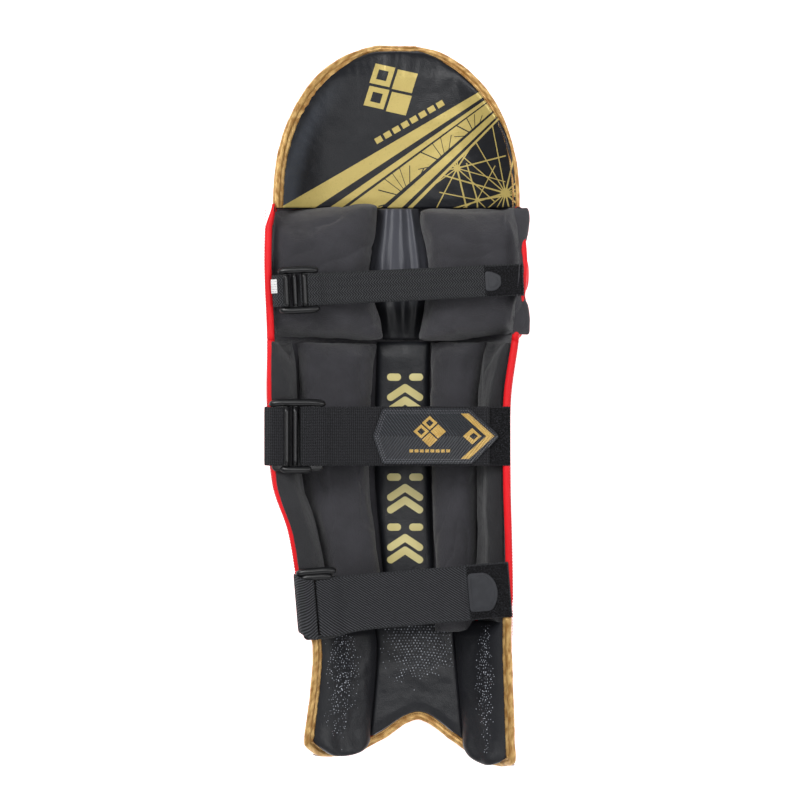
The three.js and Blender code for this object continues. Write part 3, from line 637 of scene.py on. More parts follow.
GOLD_SATIN = paint(208, 164, 98)
gold_satin = Finish("gold_satin", GOLD_SATIN, 0.34, Metallic=0.35)
along, across, _ = gold_satin.parts(gold_satin.cloth_place())
stretched = gold_satin.add("ShaderNodeCombineXYZ")
gold_satin.join(along * 0.45 + across * 0.5, stretched.inputs[0])
gold_satin.join(across * 0.8 - along * 0.1, stretched.inputs[1])
folds = gold_satin.noise(4.5, 2, stretched.outputs[0])
gold_satin.bump(folds, 1.3)
gold_satin.bump(((along + across) * (2 * math.pi / 0.8)).sine(), 0.03)
# The colour follows the folds of the bump: painted shade in their hollows and a painted highlight on their
# crowns.
gold_satin.set(
    "Base Color",
    gold_satin.colours(folds.eased(0.3, 0.7), paint(166, 118, 58), paint(224, 184, 116)),
)

# %% Webbing, hook tape, plastic and rubber
def webbing(name, weave, half_width, light):
    """A strap's weave. Its pattern runs on the strap's own map, x across it and y along it."""
    finish = Finish(name, paint(30, 30, 33), 0.7, Specular_IOR_Level=0.35)
    x, y, _ = finish.parts(finish.cloth_place())
    turn = 2 * math.pi
    if weave == "herringbone":
        height = ((y + x.zigzag(3.8)) * (turn / 2.8)).sine()
    elif weave == "diamond":
        height = ((x + y * 0.8) * (turn / 3.2)).sine() * ((x - y * 0.8) * (turn / 3.2)).sine() * 1.6
    else:
        height = ((x + y * 0.75) * (turn / 2.7)).sine()
    selvedge = x.size().above(half_width - 1.4)
    loops = (y * (turn / 1.6)).sine()
    height = height * (1 - selvedge) + loops * selvedge
    finish.bump(height * 0.5 + 0.5, 0.9)
    # The weave's low places are painted dark and its raised threads light: painted shade and highlight, with
    # random variation over it.
    shade = height.eased(-0.45, 0.75) * (finish.noise(3, 3) * 0.8 + 0.55) + finish.noise(1.2, 2) * 0.2
    finish.set("Base Color", finish.colours(shade, paint(6, 6, 7), light))
    return finish


WEAVES = dict(
    knee=webbing("herringbone_webbing", "herringbone", 16.5, paint(68, 69, 72)),
    calf=webbing("diamond_webbing", "diamond", 30.5, paint(58, 58, 62)),
    ankle=webbing("twill_webbing", "twill", 29.0, paint(70, 71, 75)),
)

hook_tape = Finish("hook_tape", paint(16, 16, 18), 0.95, Specular_IOR_Level=0.2)
hook_tape.bump(hook_tape.cells(1.0), 0.8)
hook_tape.bump(hook_tape.noise(0.6, 3), 0.4)
hook_tape.set(
    "Base Color",
    hook_tape.colours(hook_tape.noise(1.1, 4).eased(0.4, 0.75), paint(13, 13, 14), paint(50, 50, 54)),
)

PLASTIC = paint(14, 14, 16)
satin_plastic = Finish("satin_plastic", PLASTIC, 0.34)
satin_plastic.bump(satin_plastic.noise(0.5, 3), 0.04)
tinted(satin_plastic, PLASTIC, 0.15, 12)

RUBBER = paint(50, 51, 55)
grey_rubber = Finish("grey_rubber", RUBBER, 0.55, Specular_IOR_Level=0.35)
grey_rubber.bump(grey_rubber.noise(0.4, 3), 0.1)
tinted(grey_rubber, RUBBER, 0.1, 8)

LABEL_WHITE, LABEL_GREY = paint(228, 228, 226), paint(150, 152, 158)
white_label = Finish("white_label", LABEL_WHITE, 0.7)
white_label.bump(white_label.noise(0.5, 2), 0.06)
_, y, _ = white_label.parts(white_label.place())
printed = (y / 2.6).step("FRACT").between(0.3, 0.62) * white_label.noise(0.9, 1).above(0.52)
white_label.set("Base Color", white_label.colours(printed, LABEL_WHITE, LABEL_GREY))


def thread(name, colour):
    finish = Finish(name, colour, 0.6)
    finish.bump(finish.noise(0.3, 2), 0.1)
    tinted(finish, colour, 0.15, 3)
    return finish


red_thread = thread("red_thread", paint(150, 16, 24))
black_thread = thread("black_thread", paint(48, 48, 52))
gold_thread = thread("gold_thread", paint(120, 84, 40))
grey_thread = thread("grey_thread", paint(120, 120, 126))

# %% [markdown]
# ## Printed leathercloth
#
# The flap carries a print in flat gold: stripes that spread from one far point like a fan, a band of
# shards with dark cracks between them, and a net of fine lines. Cracks and net both come from
# a few stars whose rays cross. The emblem is four lozenges over a line of dashes.

# %% The flap's print
FAN_CENTRE = (201.3, 393.5)
STRIPES = [
    dict(start=0.583, end=0.656),
    dict(start=0.692, end=0.726),
    dict(start=0.888, end=0.958),
    dict(start=0.988, end=1.016),
]
SHARDS = dict(start=0.74, end=0.862)
NET_START = 1.016
NET_STARS = [
    dict(centre=(113.0, 221.0), rays=15, reach=88.0),
    dict(centre=(63.0, 247.0), rays=11, reach=52.0),
    dict(centre=(84.0, 214.0), rays=7, reach=40.0),
]
SHARD_STARS = [
    dict(centre=(14.0, 216.0), rays=17, reach=34.0),
    dict(centre=(52.0, 252.0), rays=13, reach=30.0),
    dict(centre=(82.0, 281.0), rays=13, reach=22.0),
]
EMBLEM = (-6.0, 329.0)
EMBLEM_TURN = 30
EMBLEM_REACH = 17.0


def turned(x, y, centre, degrees):
    """Places measured along and across a line that is turned about a centre."""
    c, s = math.cos(math.radians(degrees)), math.sin(math.radians(degrees))
    return (x - centre[0]) * c + (y - centre[1]) * s, (y - centre[1]) * c - (x - centre[0]) * s


def lozenge(along, across, centre, long_half, short_half):
    return ((along - centre[0]).size() / long_half + (across - centre[1]).size() / short_half).below(1)


def star(along, across, centre, rays, reach, half_width, turn=0.0):
    """Lines that spread from one point, a little unevenly, out to a reach."""
    off_x, off_y = along - centre[0], across - centre[1]
    far = (off_x * off_x + off_y * off_y).step("SQRT")
    bearing = off_y.step("ARCTAN2", off_x)
    uneven = bearing + (bearing * 3 + turn).sine() * 0.1
    off_line = (uneven * (rays / 2) + turn).sine().size() * far
    return off_line.below(half_width * rays / 2) * far.below(reach)


def emblem(finish, along, across, reach):
    """Four lozenges round a centre, two of them hollow, over a line of dashes."""
    ink = finish_zero(finish)
    for centre in ((0, reach), (0, -reach), (-reach, 0), (reach, 0)):
        ink = ink.most(lozenge(along, across, centre, reach * 0.92, reach * 0.84))
    for centre in ((0, reach), (-reach, 0)):
        ink = ink * (1 - lozenge(along, across, centre, reach * 0.45, reach * 0.42))
    dashes = (along / (reach * 0.62)).step("FRACT").between(0.14, 0.86)
    line = along.size().below(reach * 2.4) * (across + reach * 2.3).size().below(reach * 0.18)
    return ink.most(line * dashes)


def finish_zero(finish):
    return Amount(finish, finish.add("ShaderNodeValue").outputs[0]) * 0


flap_leather = leather("printed_leathercloth", BLACK_LEATHER, 0.36, Specular_IOR_Level=0.28)
x, y, _ = flap_leather.parts(flap_leather.place())
fan = (FAN_CENTRE[1] - y) / (FAN_CENTRE[0] - x)
gold_share = fan.between(STRIPES[0]["start"], STRIPES[0]["end"])
for stripe in STRIPES[1:]:
    gold_share = gold_share.most(fan.between(stripe["start"], stripe["end"]))
net_lines = finish_zero(flap_leather)
for turn, row in enumerate(NET_STARS):
    net_lines = net_lines.most(star(x, y, row["centre"], row["rays"], row["reach"], 0.62, 1.3 * turn))
cracks = finish_zero(flap_leather)
for turn, row in enumerate(SHARD_STARS):
    cracks = cracks.most(star(x, y, row["centre"], row["rays"], row["reach"], 0.45, 0.9 * turn))
shards = 1 - cracks
gold_share = gold_share.most(fan.between(SHARDS["start"], SHARDS["end"]) * shards)
gold_share = gold_share.most(fan.above(NET_START) * net_lines)
along, across = turned(x, y, EMBLEM, EMBLEM_TURN)
gold_share = gold_share.most(emblem(flap_leather, along, across, EMBLEM_REACH))
rubbed = flap_leather.noise(2.5, 4).eased(0.2, 0.45) * 0.25 + 0.75
# A painted highlight: the leathercloth is painted lighter in a band near its left edge, where it rolls over
# the binding's seam.
from_side, from_foot = x / 126, (y - 208) / 164
rim = (from_side * from_side + from_foot * from_foot).step("SQRT")
painted_highlight = rim.eased(0.76, 0.88) * (1 - rim.eased(0.9, 0.96)) * (1 - x.eased(-118, -40))
shade = flap_leather.colours(painted_highlight * 0.8, BLACK_LEATHER, paint(70, 74, 82))
flap_leather.set("Base Color", flap_leather.colours(gold_share * rubbed, shade, GOLD_PRINT))
flap_leather.set("Metallic", gold_share * 0.2)

# %% The channel's chevrons and the patch
channel_leather = leather("channel_leathercloth", BLACK_LEATHER, 0.36, Specular_IOR_Level=0.4)
x, y, _ = channel_leather.parts(channel_leather.place())
CHANNEL_MIDDLE = 9.0
CHEVRON_PITCH = 52.0
STROKE = 3.8


def stroke(along, across, start, end, width):
    """1 inside a line with round ends that runs between two places."""
    length = math.hypot(end[0] - start[0], end[1] - start[1])
    c, s = (end[0] - start[0]) / length, (end[1] - start[1]) / length
    run = (along - start[0]) * c + (across - start[1]) * s
    off = (across - start[1]) * c - (along - start[0]) * s
    past = (run - length / 2).size().most(length / 2) - length / 2
    return (past * past + off * off).below(width * width)


arm = (x - CHANNEL_MIDDLE).size()
climb = ((y + 14) / CHEVRON_PITCH).step("FRACT") * CHEVRON_PITCH
channel_print = stroke(arm, climb, (0, 20), (15, 10), STROKE)
channel_print = channel_print.most(stroke(arm, climb, (0, 33), (15, 23), STROKE))
channel_print = channel_print.most(stroke(arm, climb, (8, 44), (15, 44), STROKE))
_, height, _ = channel_leather.parts(channel_leather.place())
channel_print = channel_print * height.below(43)
pale_gold = channel_leather.colours(channel_leather.noise(30, 1), paint(186, 170, 100), paint(236, 226, 166))
channel_leather.set("Base Color", channel_leather.colours(channel_print, BLACK_LEATHER, pale_gold))

PATCH_LEATHER = paint(50, 52, 58)
patch_leather = leather("patch_leathercloth", PATCH_LEATHER, 0.42, 0.04, 0.03)
x, y, _ = patch_leather.parts(patch_leather.cloth_place())
ribs = ((x + y.size() * 0.75) * (2 * math.pi / 3.2)).sine() * 0.5 + 0.5
patch_leather.bump(ribs, 0.7)
arrow = x + y.size() * 1.12
motif = arrow.between(-14.5, -6) * y.size().below(23.5)
motif = motif.most(lozenge(x, y, (-29, 0), 9.5, 8.5) * (1 - lozenge(x, y, (-27.5, 0), 4.5, 3.6)))
motif = motif.most(emblem(patch_leather, x + 73, y - 5, 8.8))
plain = arrow.above(-42)
# The rib crowns are painted lighter and the grooves between them dark: painted shade along the ribs.
shaded = patch_leather.colours(ribs * (1 - plain) + plain * 0.4, paint(18, 19, 22), paint(58, 60, 66))
patch_gold = patch_leather.colours(patch_leather.noise(9, 2), paint(176, 132, 52), paint(232, 196, 116))
patch_leather.set("Base Color", patch_leather.colours(motif, shaded, patch_gold))
print("finishes:", len(bpy.data.materials))

# %% [markdown]
# ## The padded shells
#
# On a real pad the front is a foam board in red leathercloth, and its edges are turned and sewn.
# Each shell here is the wall's outer sheet and inner sheet, closed by a rounded rim.

# %% Finish a piece
def made(piece, finish, slot, *nodes):
    piece.data.materials.clear()
    piece.data.materials.append(finish.material)
    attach(piece, "root")
    if nodes:
        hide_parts(*nodes)
    return piece


def grid(low, high, count, start, end, rows):
    """Evenly spaced u and v over a patch of a wall."""
    return np.meshgrid(np.linspace(low, high, count), np.linspace(start, end, rows))


# The knee's upper left corner is drawn out and up. Below the ankle strap the foot is a little narrower.
CORNER_PULL = (6.5, 4.0, 0)
FOOT_NARROWED = 0.009
FOOT_FROM, FOOT_TO = -0.215, -0.195
# Black tape covers the seams between the shells on their inner side.
TAPE_HALF = 3
LOW_TAPE_MIDDLE, LOW_TAPE_REACH = -4, 122
HIGH_TAPE_LEFT = -127

for name, wall in (("shin_shell", shin), ("knee_shell", knee), ("top_flap", flap)):
    body = sewn(f"{name}_cover", wall.outer, wall.inner, bulge=1.6, steps=6)
    if name == "knee_shell":
        places = points_of(body.data) * 1000 - SHIFT
        corner = smooth(places[:, 1], KNEE_TOP - 22, KNEE_TOP) * (1 - smooth(places[:, 0], -132, -120))
        places += corner[:, None] * np.array(CORNER_PULL)
        put_points(body.data, to_row(places))
    if name == "shin_shell":
        places = points_of(body.data)
        places[:, 0] *= 1 - FOOT_NARROWED * (1 - smooth(places[:, 1], FOOT_FROM, FOOT_TO))
        put_points(body.data, places)
    x, y, _ = (points_of(body.data) * 1000).T
    low_seam = abs(y - KNEE_LOW - SHIFT[1]) < TAPE_HALF
    high_seam = abs(y - KNEE_TOP - SHIFT[1]) < TAPE_HALF
    taped = (low_seam & (abs(x - LOW_TAPE_MIDDLE) < LOW_TAPE_REACH)) | (high_seam & (x > HIGH_TAPE_LEFT))
    taped = taped & (normals_of(body.data)[:, 2] > 0.1)
    body.data.attributes.new("taped", "FLOAT", "POINT").data.foreach_set("value", taped.astype(float))
    made(body, red_leather, "facing", name)
print("shells:", len(shin.v) * (shin.columns + 1), "points in the longest")

# %% A thin black cloth over the inner faces
# It lies under the pads and shows wherever two of them part.
for name, wall, low, high, reach in (
    ("shin_backing", shin, 8, KNEE_LOW - 0.3, 0.985),
    ("knee_backing", knee, KNEE_LOW + 0.3, KNEE_TOP - 0.3, 0.985),
):
    u, v = grid(-reach, reach, 100, low, high, 60)
    under, over = wall.inside(u, v, 0.04 + 0 * u), wall.inside(u, v, 0.3 + 0 * u)
    for sheet in (under, over):
        sheet[..., 1] += 2.2 * smooth(v, high - 9, high)
    over[..., 1] += 0.3
    backing = sewn(name, under, over)
    made(backing, black_cotton, "lining")

# %% Canes and knee rolls
# Canes are stiff rods in sewn channels down the front. Knee rolls are stuffed tubes across it.
RIB_COUNT = 7
RIB_HEIGHT = 9.0
RIB_EDGE = 1.5
RIB_START = 12.0
ROLL_COUNT = 3
ROLL_HEIGHT = 23.0
ROLL_EDGE = 3.0
ROLL_REACH = 0.75
trim = SEAM / PAD_WIDTH
for k in range(RIB_COUNT):
    start = 2 * ((CAD_COLUMNS - 2 * RIB_COUNT) / 2 + 2 * k) / CAD_COLUMNS - 1
    u, v = grid(start + trim, start + 4 / CAD_COLUMNS - trim, 17, RIB_START, KNEE_LOW - 0.75, 140)
    s = (u - u[0, 0]) / (u[0, -1] - u[0, 0])
    ends = np.minimum(share_of(v, RIB_START - 3, RIB_START + 12), share_of(v, KNEE_LOW, KNEE_LOW - 12))
    height = mix(RIB_EDGE, RIB_HEIGHT, crown(s) * np.sqrt(mix(0.16, 1, ends)))
    rib = sewn(f"shin_cane_{k + 1}", shin.outside(u, v, GAP + height), shin.outside(u, v, GAP), 0.4)
    made(rib, red_leather, "facing", f"shin_rib_{k + 1}")

roll_seams = np.linspace(KNEE_LOW + SEAM / 2, KNEE_TOP - SEAM / 2, ROLL_COUNT + 1)
for k in range(ROLL_COUNT):
    low, high = roll_seams[k] + SEAM / 2, roll_seams[k + 1] - SEAM / 2
    u, v = grid(-ROLL_REACH, ROLL_REACH, 100, low, high, 28)
    across = crown(share_of(u, -ROLL_REACH, ROLL_REACH), 8)
    height = mix(ROLL_EDGE, ROLL_HEIGHT, crown(share_of(v, low, high), 3) * across)
    puckers = ripple(np.stack([u * 900, v * 0.2, v * 0], -1), 14, k)
    height = height - 1.2 * (0.5 + 0.5 * puckers) * (1 - crown(share_of(v, low, high), 3) ** 2) * across
    roll = sewn(f"stuffed_knee_roll_{k + 1}", knee.outside(u, v, GAP + height), knee.outside(u, v, GAP), 0.5)
    made(roll, red_leather, "facing", f"knee_roll_{k + 1}")

# %% [markdown]
# ## Stuffed cloth
#
# A bolster is a cloth tube filled with foam or wadding. It starts here as two sheets sewn at their
# seams. Blender's cloth then swells it with air from within, which gives the round shoulders and
# the slack that a modelled shape lacks. No point may move further than a cap, so the piece stays
# where the CAD has it. Wrinkles that pull away from the seams are added after.

# %% Swell a pad with the cloth simulation
def swollen(piece, cap, still=None, pressure=4.0, frames=20):
    """Blows a closed pad up a little from within. still gives the share that a place holds back."""
    mesh = piece.data
    start = points_of(mesh)
    cloth = piece.modifiers.new("air", "CLOTH")
    cloth.settings.quality = 6
    cloth.settings.use_pressure = True
    cloth.settings.uniform_pressure_force = pressure
    cloth.settings.effector_weights.gravity = 0
    cloth.settings.tension_stiffness = cloth.settings.compression_stiffness = 12
    cloth.settings.bending_stiffness = 0.6
    for step in range(1, frames + 1):
        bpy.context.scene.frame_set(step)
    graph = bpy.context.evaluated_depsgraph_get()
    end = points_of(piece.evaluated_get(graph).to_mesh())
    piece.modifiers.clear()
    bpy.context.scene.frame_set(1)
    move = end - start
    far = np.linalg.norm(move, axis=1, keepdims=True)
    if still is not None:
        move *= 1 - still(start * 1000)[:, None]
    put_points(mesh, start + move * np.minimum(1, cap / np.maximum(far, 1e-9)))
    smoother = piece.modifiers.new("smooth", "SUBSURF")
    smoother.levels = smoother.render_levels = 1
    graph = bpy.context.evaluated_depsgraph_get()
    piece.data = bpy.data.meshes.new_from_object(piece.evaluated_get(graph))
    piece.modifiers.clear()
    piece.data.shade_smooth()
    print(piece.name, "moved up to", round(float(far.max()) * 1000, 1), "mm")
    return piece


def pushed(piece, amount):
    """Moves each point along its normal by an amount in mm, worked out from its place in mm."""
    mesh = piece.data
    points = points_of(mesh)
    put_points(mesh, points + normals_of(mesh) * amount(points * 1000)[:, None] * 0.001)
    return piece


def creases(points, size, seed, depth):
    """Folds with sharp valleys and soft crowns, as slack cloth has."""
    return -depth * (1 - np.abs(ripple(points, size, seed, 2))) ** 6

# %% Bolsters, linings and the channel
SOFT_EDGE = 2.0
BOLSTER_LOW = 0.184 * PAD_LENGTH
BOLSTER_HIGH = KNEE_LOW - 2
SHIN_PADS = [
    dict(name="side_lining_left", left=(-0.985, -0.985), right=(-0.65, -0.64), thick=17, fill=0.5,
         finish=dark_cotton, lift=14),
    dict(name="shin_bolster_left", left=(-0.65, -0.64), right=(-0.19, -0.145), thick=34, fill=0.8,
         finish=black_cotton, lift=14),
    dict(name="shin_channel", left=(-0.19, -0.145), right=(0.15, 0.167), thick=9, fill=0.9,
         finish=channel_leather, lift=15),
    dict(name="shin_bolster_right", left=(0.15, 0.167), right=(0.52, 0.56), thick=34, fill=0.8,
         finish=black_cotton, lift=3),
    dict(name="side_lining_right", left=(0.52, 0.56), right=(0.985, 0.985), thick=17, fill=0.5,
         finish=shaded_cotton, lift=12),
]


def stuffed_sheets(row, low, high, columns, rows, end_length=14, slack=0.0):
    """The two sheets of a pad on the shin's inner face, between seams that may lean."""
    s, v = grid(0, 1, columns, low, high, rows)
    up = share_of(v, low, high)
    left = mix(*row["left"], up) + trim
    right = mix(*row["right"], up) - trim
    u = mix(left, right, s)
    ends = np.minimum(
        share_of(v, low - end_length / 3, low + end_length),
        share_of(v, high + end_length / 3, high - end_length),
    )
    full = mix(SOFT_EDGE, row["thick"] - slack, crown(s, 3) * np.sqrt(ends))
    return shin.inside(u, v, GAP + 0 * u), shin.inside(u, v, GAP + full), u, v, s


# The left lining is rolled over the shell's edge: how far its lower and upper sheets are carried.
ROLL_LOW, ROLL_HIGH = (-3.0, 0, 5.2), (-4.5, 0, 7.2)
HELD_TO, FREE_FROM = 4, 14


def held_beside(edge):
    """How firmly the simulation holds a point: fully beside the edge, and not at all further in."""
    return lambda p: 1 - smooth(
        p[:, 0] - np.interp(p[:, 1], edge[:, 1], edge[:, 0]), HELD_TO, FREE_FROM
    )


for seed, row in enumerate(SHIN_PADS):
    name = row["name"]
    soft = name != "shin_channel"
    start = BOLSTER_LOW + row["lift"]
    sheets = stuffed_sheets(row, start, BOLSTER_HIGH, 30, 80, slack=3 if soft else 0)
    low, high, s = sheets[0], sheets[1], sheets[4]
    held = None
    if name == "side_lining_left":
        rolled = ((1 - smooth(s, 0, 0.3)) ** 1.5)[..., None]
        low, high = low + rolled * ROLL_LOW, high + rolled * ROLL_HIGH
        held = held_beside(low[:, 0] + SHIFT)
    pad = sewn(f"{name}_cloth", low, high, bulge=0.8, steps=4)
    if soft:
        swollen(pad, 0.006, held)
        deep = 0.5 if "side" in name else 1.6
        pushed(pad, lambda p: creases(p * (1, 0.45, 1), 34, seed, deep) + 0.9 * ripple(p, 40, seed + 9))
        made(pad, row["finish"], "lining", name)
    else:
        pushed(pad, lambda p: 0.7 * ripple(p * (1, 0.3, 1), 18, seed))
        made(pad, row["finish"], "leather", name)
    print(name, "points:", len(pad.data.vertices))

# %% [markdown]
# ## Round the knee
#
# Two block cushions hold the sides of the knee, and a gathered strip of soft leathercloth between
# them cups the kneecap. Its pleats run up and down because the strip is longer round the knee than
# the seams that it is sewn into.

# %% Knee cushions
KNEE_EDGES = [
    dict(at=0.0, left=-0.115, right=0.105),
    dict(at=0.5, left=-0.175, right=0.185),
    dict(at=1.0, left=-0.115, right=0.14),
]
KNEE_CUSHION_TOP = 0.9 * PAD_DEPTH
KNEE_CUSHION_EDGE = 36.0
KNEE_CUSHION_REACH = 0.93
KNEE_CUP = 17.0
KNEE_CUP_START = mix(KNEE_LOW, KNEE_TOP, 0.066)
WING_EDGE = [
    dict(at=0.0, reach=1.068),
    dict(at=0.22, reach=1.06),
    dict(at=0.31, reach=1.037),
    dict(at=0.6, reach=1.037),
    dict(at=0.66, reach=1.022),
    dict(at=0.76, reach=1.05),
    dict(at=0.9, reach=1.07),
    dict(at=1.0, reach=1.06),
]
# How far the upper and lower seams of a cushion stand off the knee's, from its outer side to its
# inner one, in millimetres.
CUSHION_SEAMS = dict(
    left=[dict(at=0.0, upper=-5.0, lower=7.0), dict(at=0.6, upper=0.0, lower=2.0),
          dict(at=0.92, upper=6.5, lower=-0.5), dict(at=1.0, upper=4.0, lower=1.0)],
    right=[dict(at=0.0, upper=0.0, lower=8.0), dict(at=0.5, upper=0.0, lower=3.0),
           dict(at=0.92, upper=1.0, lower=-2.0), dict(at=1.0, upper=-1.0, lower=0.0)],
)
knee_low, knee_high = KNEE_LOW + SEAM * 1.5, KNEE_TOP - SEAM * 1.5


def knee_edge(v, side):
    return read_table(KNEE_EDGES, share_of(v, KNEE_LOW, KNEE_TOP))[side]


def wing_sheets(s, v):
    """The fabric that runs on from the right cushion over the wing's edge."""
    lip = knee.inside(1 + 0 * v, v, 0 * v)
    outer_lip = knee.outside(1 + 0 * v, v, 0 * v)
    reach = read_table(WING_EDGE, share_of(v, KNEE_LOW, KNEE_TOP))["reach"] * HALF_WIDTH
    x = mix(lip[..., 0] - 3, reach, s)
    z = np.maximum(lip[..., 2], outer_lip[..., 2]) + GAP - 4 * s**2
    return np.stack([x, v, z], -1)


for seed, side in enumerate(("left", "right")):
    s, v = grid(0, 1, 46, knee_low, knee_high, 44)
    sign = -1 if side == "left" else 1
    inner = knee_edge(v, side) + sign * 2 * trim
    t = share_of(v, knee_low, knee_high)
    seams = read_table(CUSHION_SEAMS[side], s)
    u = mix(sign * KNEE_CUSHION_REACH, inner, s)
    low = knee.inside(u, v, GAP + 0 * u)
    edge = low[..., 2] + mix(SOFT_EDGE, KNEE_CUSHION_EDGE, s)
    top = np.maximum(edge, KNEE_CUSHION_TOP - 4)
    high = low.copy()
    high[..., 2] = mix(edge, top, crown(s, 5) * crown(t, 5))
    if side == "right":
        hang, hang_v = grid(1, 0.15, 8, knee_low, knee_high, 44)
        flange = wing_sheets(hang, hang_v)
        puff = 2.5 + 3.5 * crown(share_of(hang_v, knee_low, knee_high), 6) * (1 - 0.6 * hang)
        low = np.concatenate([flange, low], 1)
        inwards = smooth(s[:, 0:12], -0.05, 0.26)
        high[:, 0:12, 2] = mix(flange[:, -1:, 2] + puff[:, -1:], high[:, 0:12, 2], inwards)
        high = np.concatenate([flange + np.array([0, 0, 1]) * puff[..., None], high], 1)
        t = np.concatenate([share_of(hang_v, knee_low, knee_high), t], 1)
        seams = {k: np.concatenate([np.repeat(y[:, :1], 8, 1), y], 1) for k, y in seams.items()}
    shift = mix(seams["lower"], seams["upper"], t)
    low[..., 1] += shift * 0.6
    high[..., 1] += shift
    if sign > 0:
        low, high = low[:, ::-1], high[:, ::-1]
    cushion = sewn(f"knee_cushion_{side}_cloth", low, high, bulge=1.5, steps=5)
    swollen(
        cushion, 0.008,
        lambda p: 0.9 * smooth(p[:, 0], 112, 124) + 0.9 * (1 - smooth(p[:, 0], -128, -116)),
    )
    pushed(
        cushion,
        lambda p: creases(p * (0.6, 1, 0.6), 46, seed + 3, 2.0) + 1.3 * ripple(p, 30, seed + 5),
    )
    nodes = [f"knee_cushion_{side}"] + (["knee_wing_edge"] if sign > 0 else [])
    made(cushion, black_cotton, "lining", *nodes)

# %% The gathered cup
# Each fold has its own place and width across the strip. Between folds the strip falls back.
CUP_FOLDS = [
    dict(at=0.2, half=0.1, rise=6.5),
    dict(at=0.53, half=0.12, rise=8.0),
    dict(at=0.8, half=0.075, rise=5.0),
]
s, v = grid(0, 1, 121, KNEE_LOW + 1, KNEE_TOP + 1, 60)
held = np.clip(v, knee_low, knee_high)
u = mix(knee_edge(held, "left") + 2 * trim, knee_edge(held, "right") - 2 * trim, s)
rise = mix(0.25, 1, smooth(v, KNEE_CUP_START - 10, KNEE_CUP_START + 34))
thick = mix(SOFT_EDGE, KNEE_CUP, crown(s, 3) * rise)
low = knee.inside(u, held, GAP + 0 * u)
sway = 0.02 * ripple(np.stack([0 * s, v, 0 * v], -1), 60, 4)
for k, fold in enumerate(CUP_FOLDS):
    drift = sway + 0.02 * ripple(np.stack([0 * s + 40 * k, v, 0 * v], -1), 45, k)
    profile = np.exp(-(((s - fold["at"] - drift) / fold["half"]) ** 2))
    thick = thick + fold["rise"] * profile * rise * mix(0.6, 1, smooth(v, knee_low, knee_high))
middle = np.exp(-(((v - mix(knee_low, knee_high, 0.45)) / 22) ** 2))
thick = thick + (0.3 + 0.9 * middle) * ripple(np.stack([s * 62, v * 0.12, 0 * v], -1), 6, 8) * rise
cup = sewn("knee_cup_pleats", low, knee.inside(u, held, GAP + np.maximum(thick, 1)), bulge=0.5)
cup_leather = leather("soft_leathercloth", paint(58, 60, 66), 0.36, 0.08)
_, y, _ = cup_leather.parts(cup_leather.place())
# Painted light and shade: the cup is painted lighter towards the flap and darker towards the foot.
graded = y.eased(96, 132)
cup_leather.set("Base Color", cup_leather.colours(graded, paint(26, 27, 30), paint(84, 85, 92)))
made(cup, cup_leather, "leather", "knee_cup")

# %% The flap's lining
FLAP_LINING = 9.0
REACH = 0.985
u, v = grid(-REACH, REACH, 110, FLAP_LOW + SEAM, FLAP_HIGH - SEAM, 110)
ends = np.sqrt(share_of(v, FLAP_HIGH - SEAM, FLAP_HIGH - 25) * share_of(v, FLAP_LOW - 20, FLAP_LOW + 10))
full = crown((u / REACH + 1) / 2, 4) * ends
thick = mix(SOFT_EDGE, FLAP_LINING, full)
low = flap.inside(u, v, GAP + 0 * u)
near_edge = 1 - smooth(np.minimum(1 - np.abs(u), (FLAP_HIGH - v) / 90), 0.0, 0.45)
turn = np.arctan2(low[..., 1] - FLAP_LOW, low[..., 0])
spokes = ripple(np.stack([turn * 60, near_edge * 2, 0 * v], -1), 5, 31)
thick = thick + near_edge * 1.3 * spokes * full**0.5 + 1.2 * ripple(low, 45, 33) * full
high = flap.inside(u, v, GAP + np.maximum(thick, 1.2))
spread = smooth(u, 0.74, 0.985) * (1 - 0.95 * smooth(v, FLAP_LOW + 60, FLAP_HIGH - 40))
spread = spread + 0.3 * smooth(v, FLAP_HIGH - 14, FLAP_HIGH)
out = unit(low - np.array([FLAP_MIDDLE, FLAP_LOW - 20, 0]))
out[..., 2] = 0
for sheet, reach, up in ((low, 6.0, 1.5), (high, 7.8, 3.0)):
    sheet += out * (reach * spread)[..., None] + np.array([0, 0, 1]) * (up * spread)[..., None]
lining = sewn("flap_lining_print", low, high, bulge=0.4)
made(lining, flap_leather, "leather", "flap_lining")

# %% The foot's three panels
# The side panels are stuffed full and roll over the lower hem. The middle one lies low.
FOOT_LOW = 3.0
FOOT_HIGH = BOLSTER_LOW - SEAM
FOOT_TUCK = 14.0
FOOT_PADS = [
    dict(name="foot_panel_left", left=(-0.985, -0.985), right=(-0.39, -0.3), thick=16, over=9.0),
    dict(name="foot_panel_middle", left=(-0.39, -0.3), right=(0.42, 0.31), thick=8, over=0.0),
    dict(name="foot_panel_right", left=(0.42, 0.31), right=(0.985, 0.985), thick=16, over=9.0),
]
foot_tops = []
for seed, row in enumerate(FOOT_PADS):
    low, high, u, v, s = stuffed_sheets(row, FOOT_LOW, FOOT_HIGH + FOOT_TUCK, 60, 80)
    out = shin.read(shin.normal, u, v)
    high = high + out * (0.8 * ripple(high, 24, seed + 41) * crown(s, 4))[..., None]
    roll = (1 - smooth(v, FOOT_LOW, FOOT_LOW + 22)) ** 2 * crown(s, 6)
    high[..., 1] -= row["over"] * roll
    low[..., 1] -= row["over"] * 0.7 * roll
    low = low + out * (row["over"] * 0.75 * roll)[..., None]
    high = high + out * (row["over"] * 0.9 * roll)[..., None]
    panel = sewn(f"{row['name']}_cover", low, high, bulge=1.0, steps=5)
    made(panel, black_leather, "leather", row["name"])
    foot_tops.append(high)

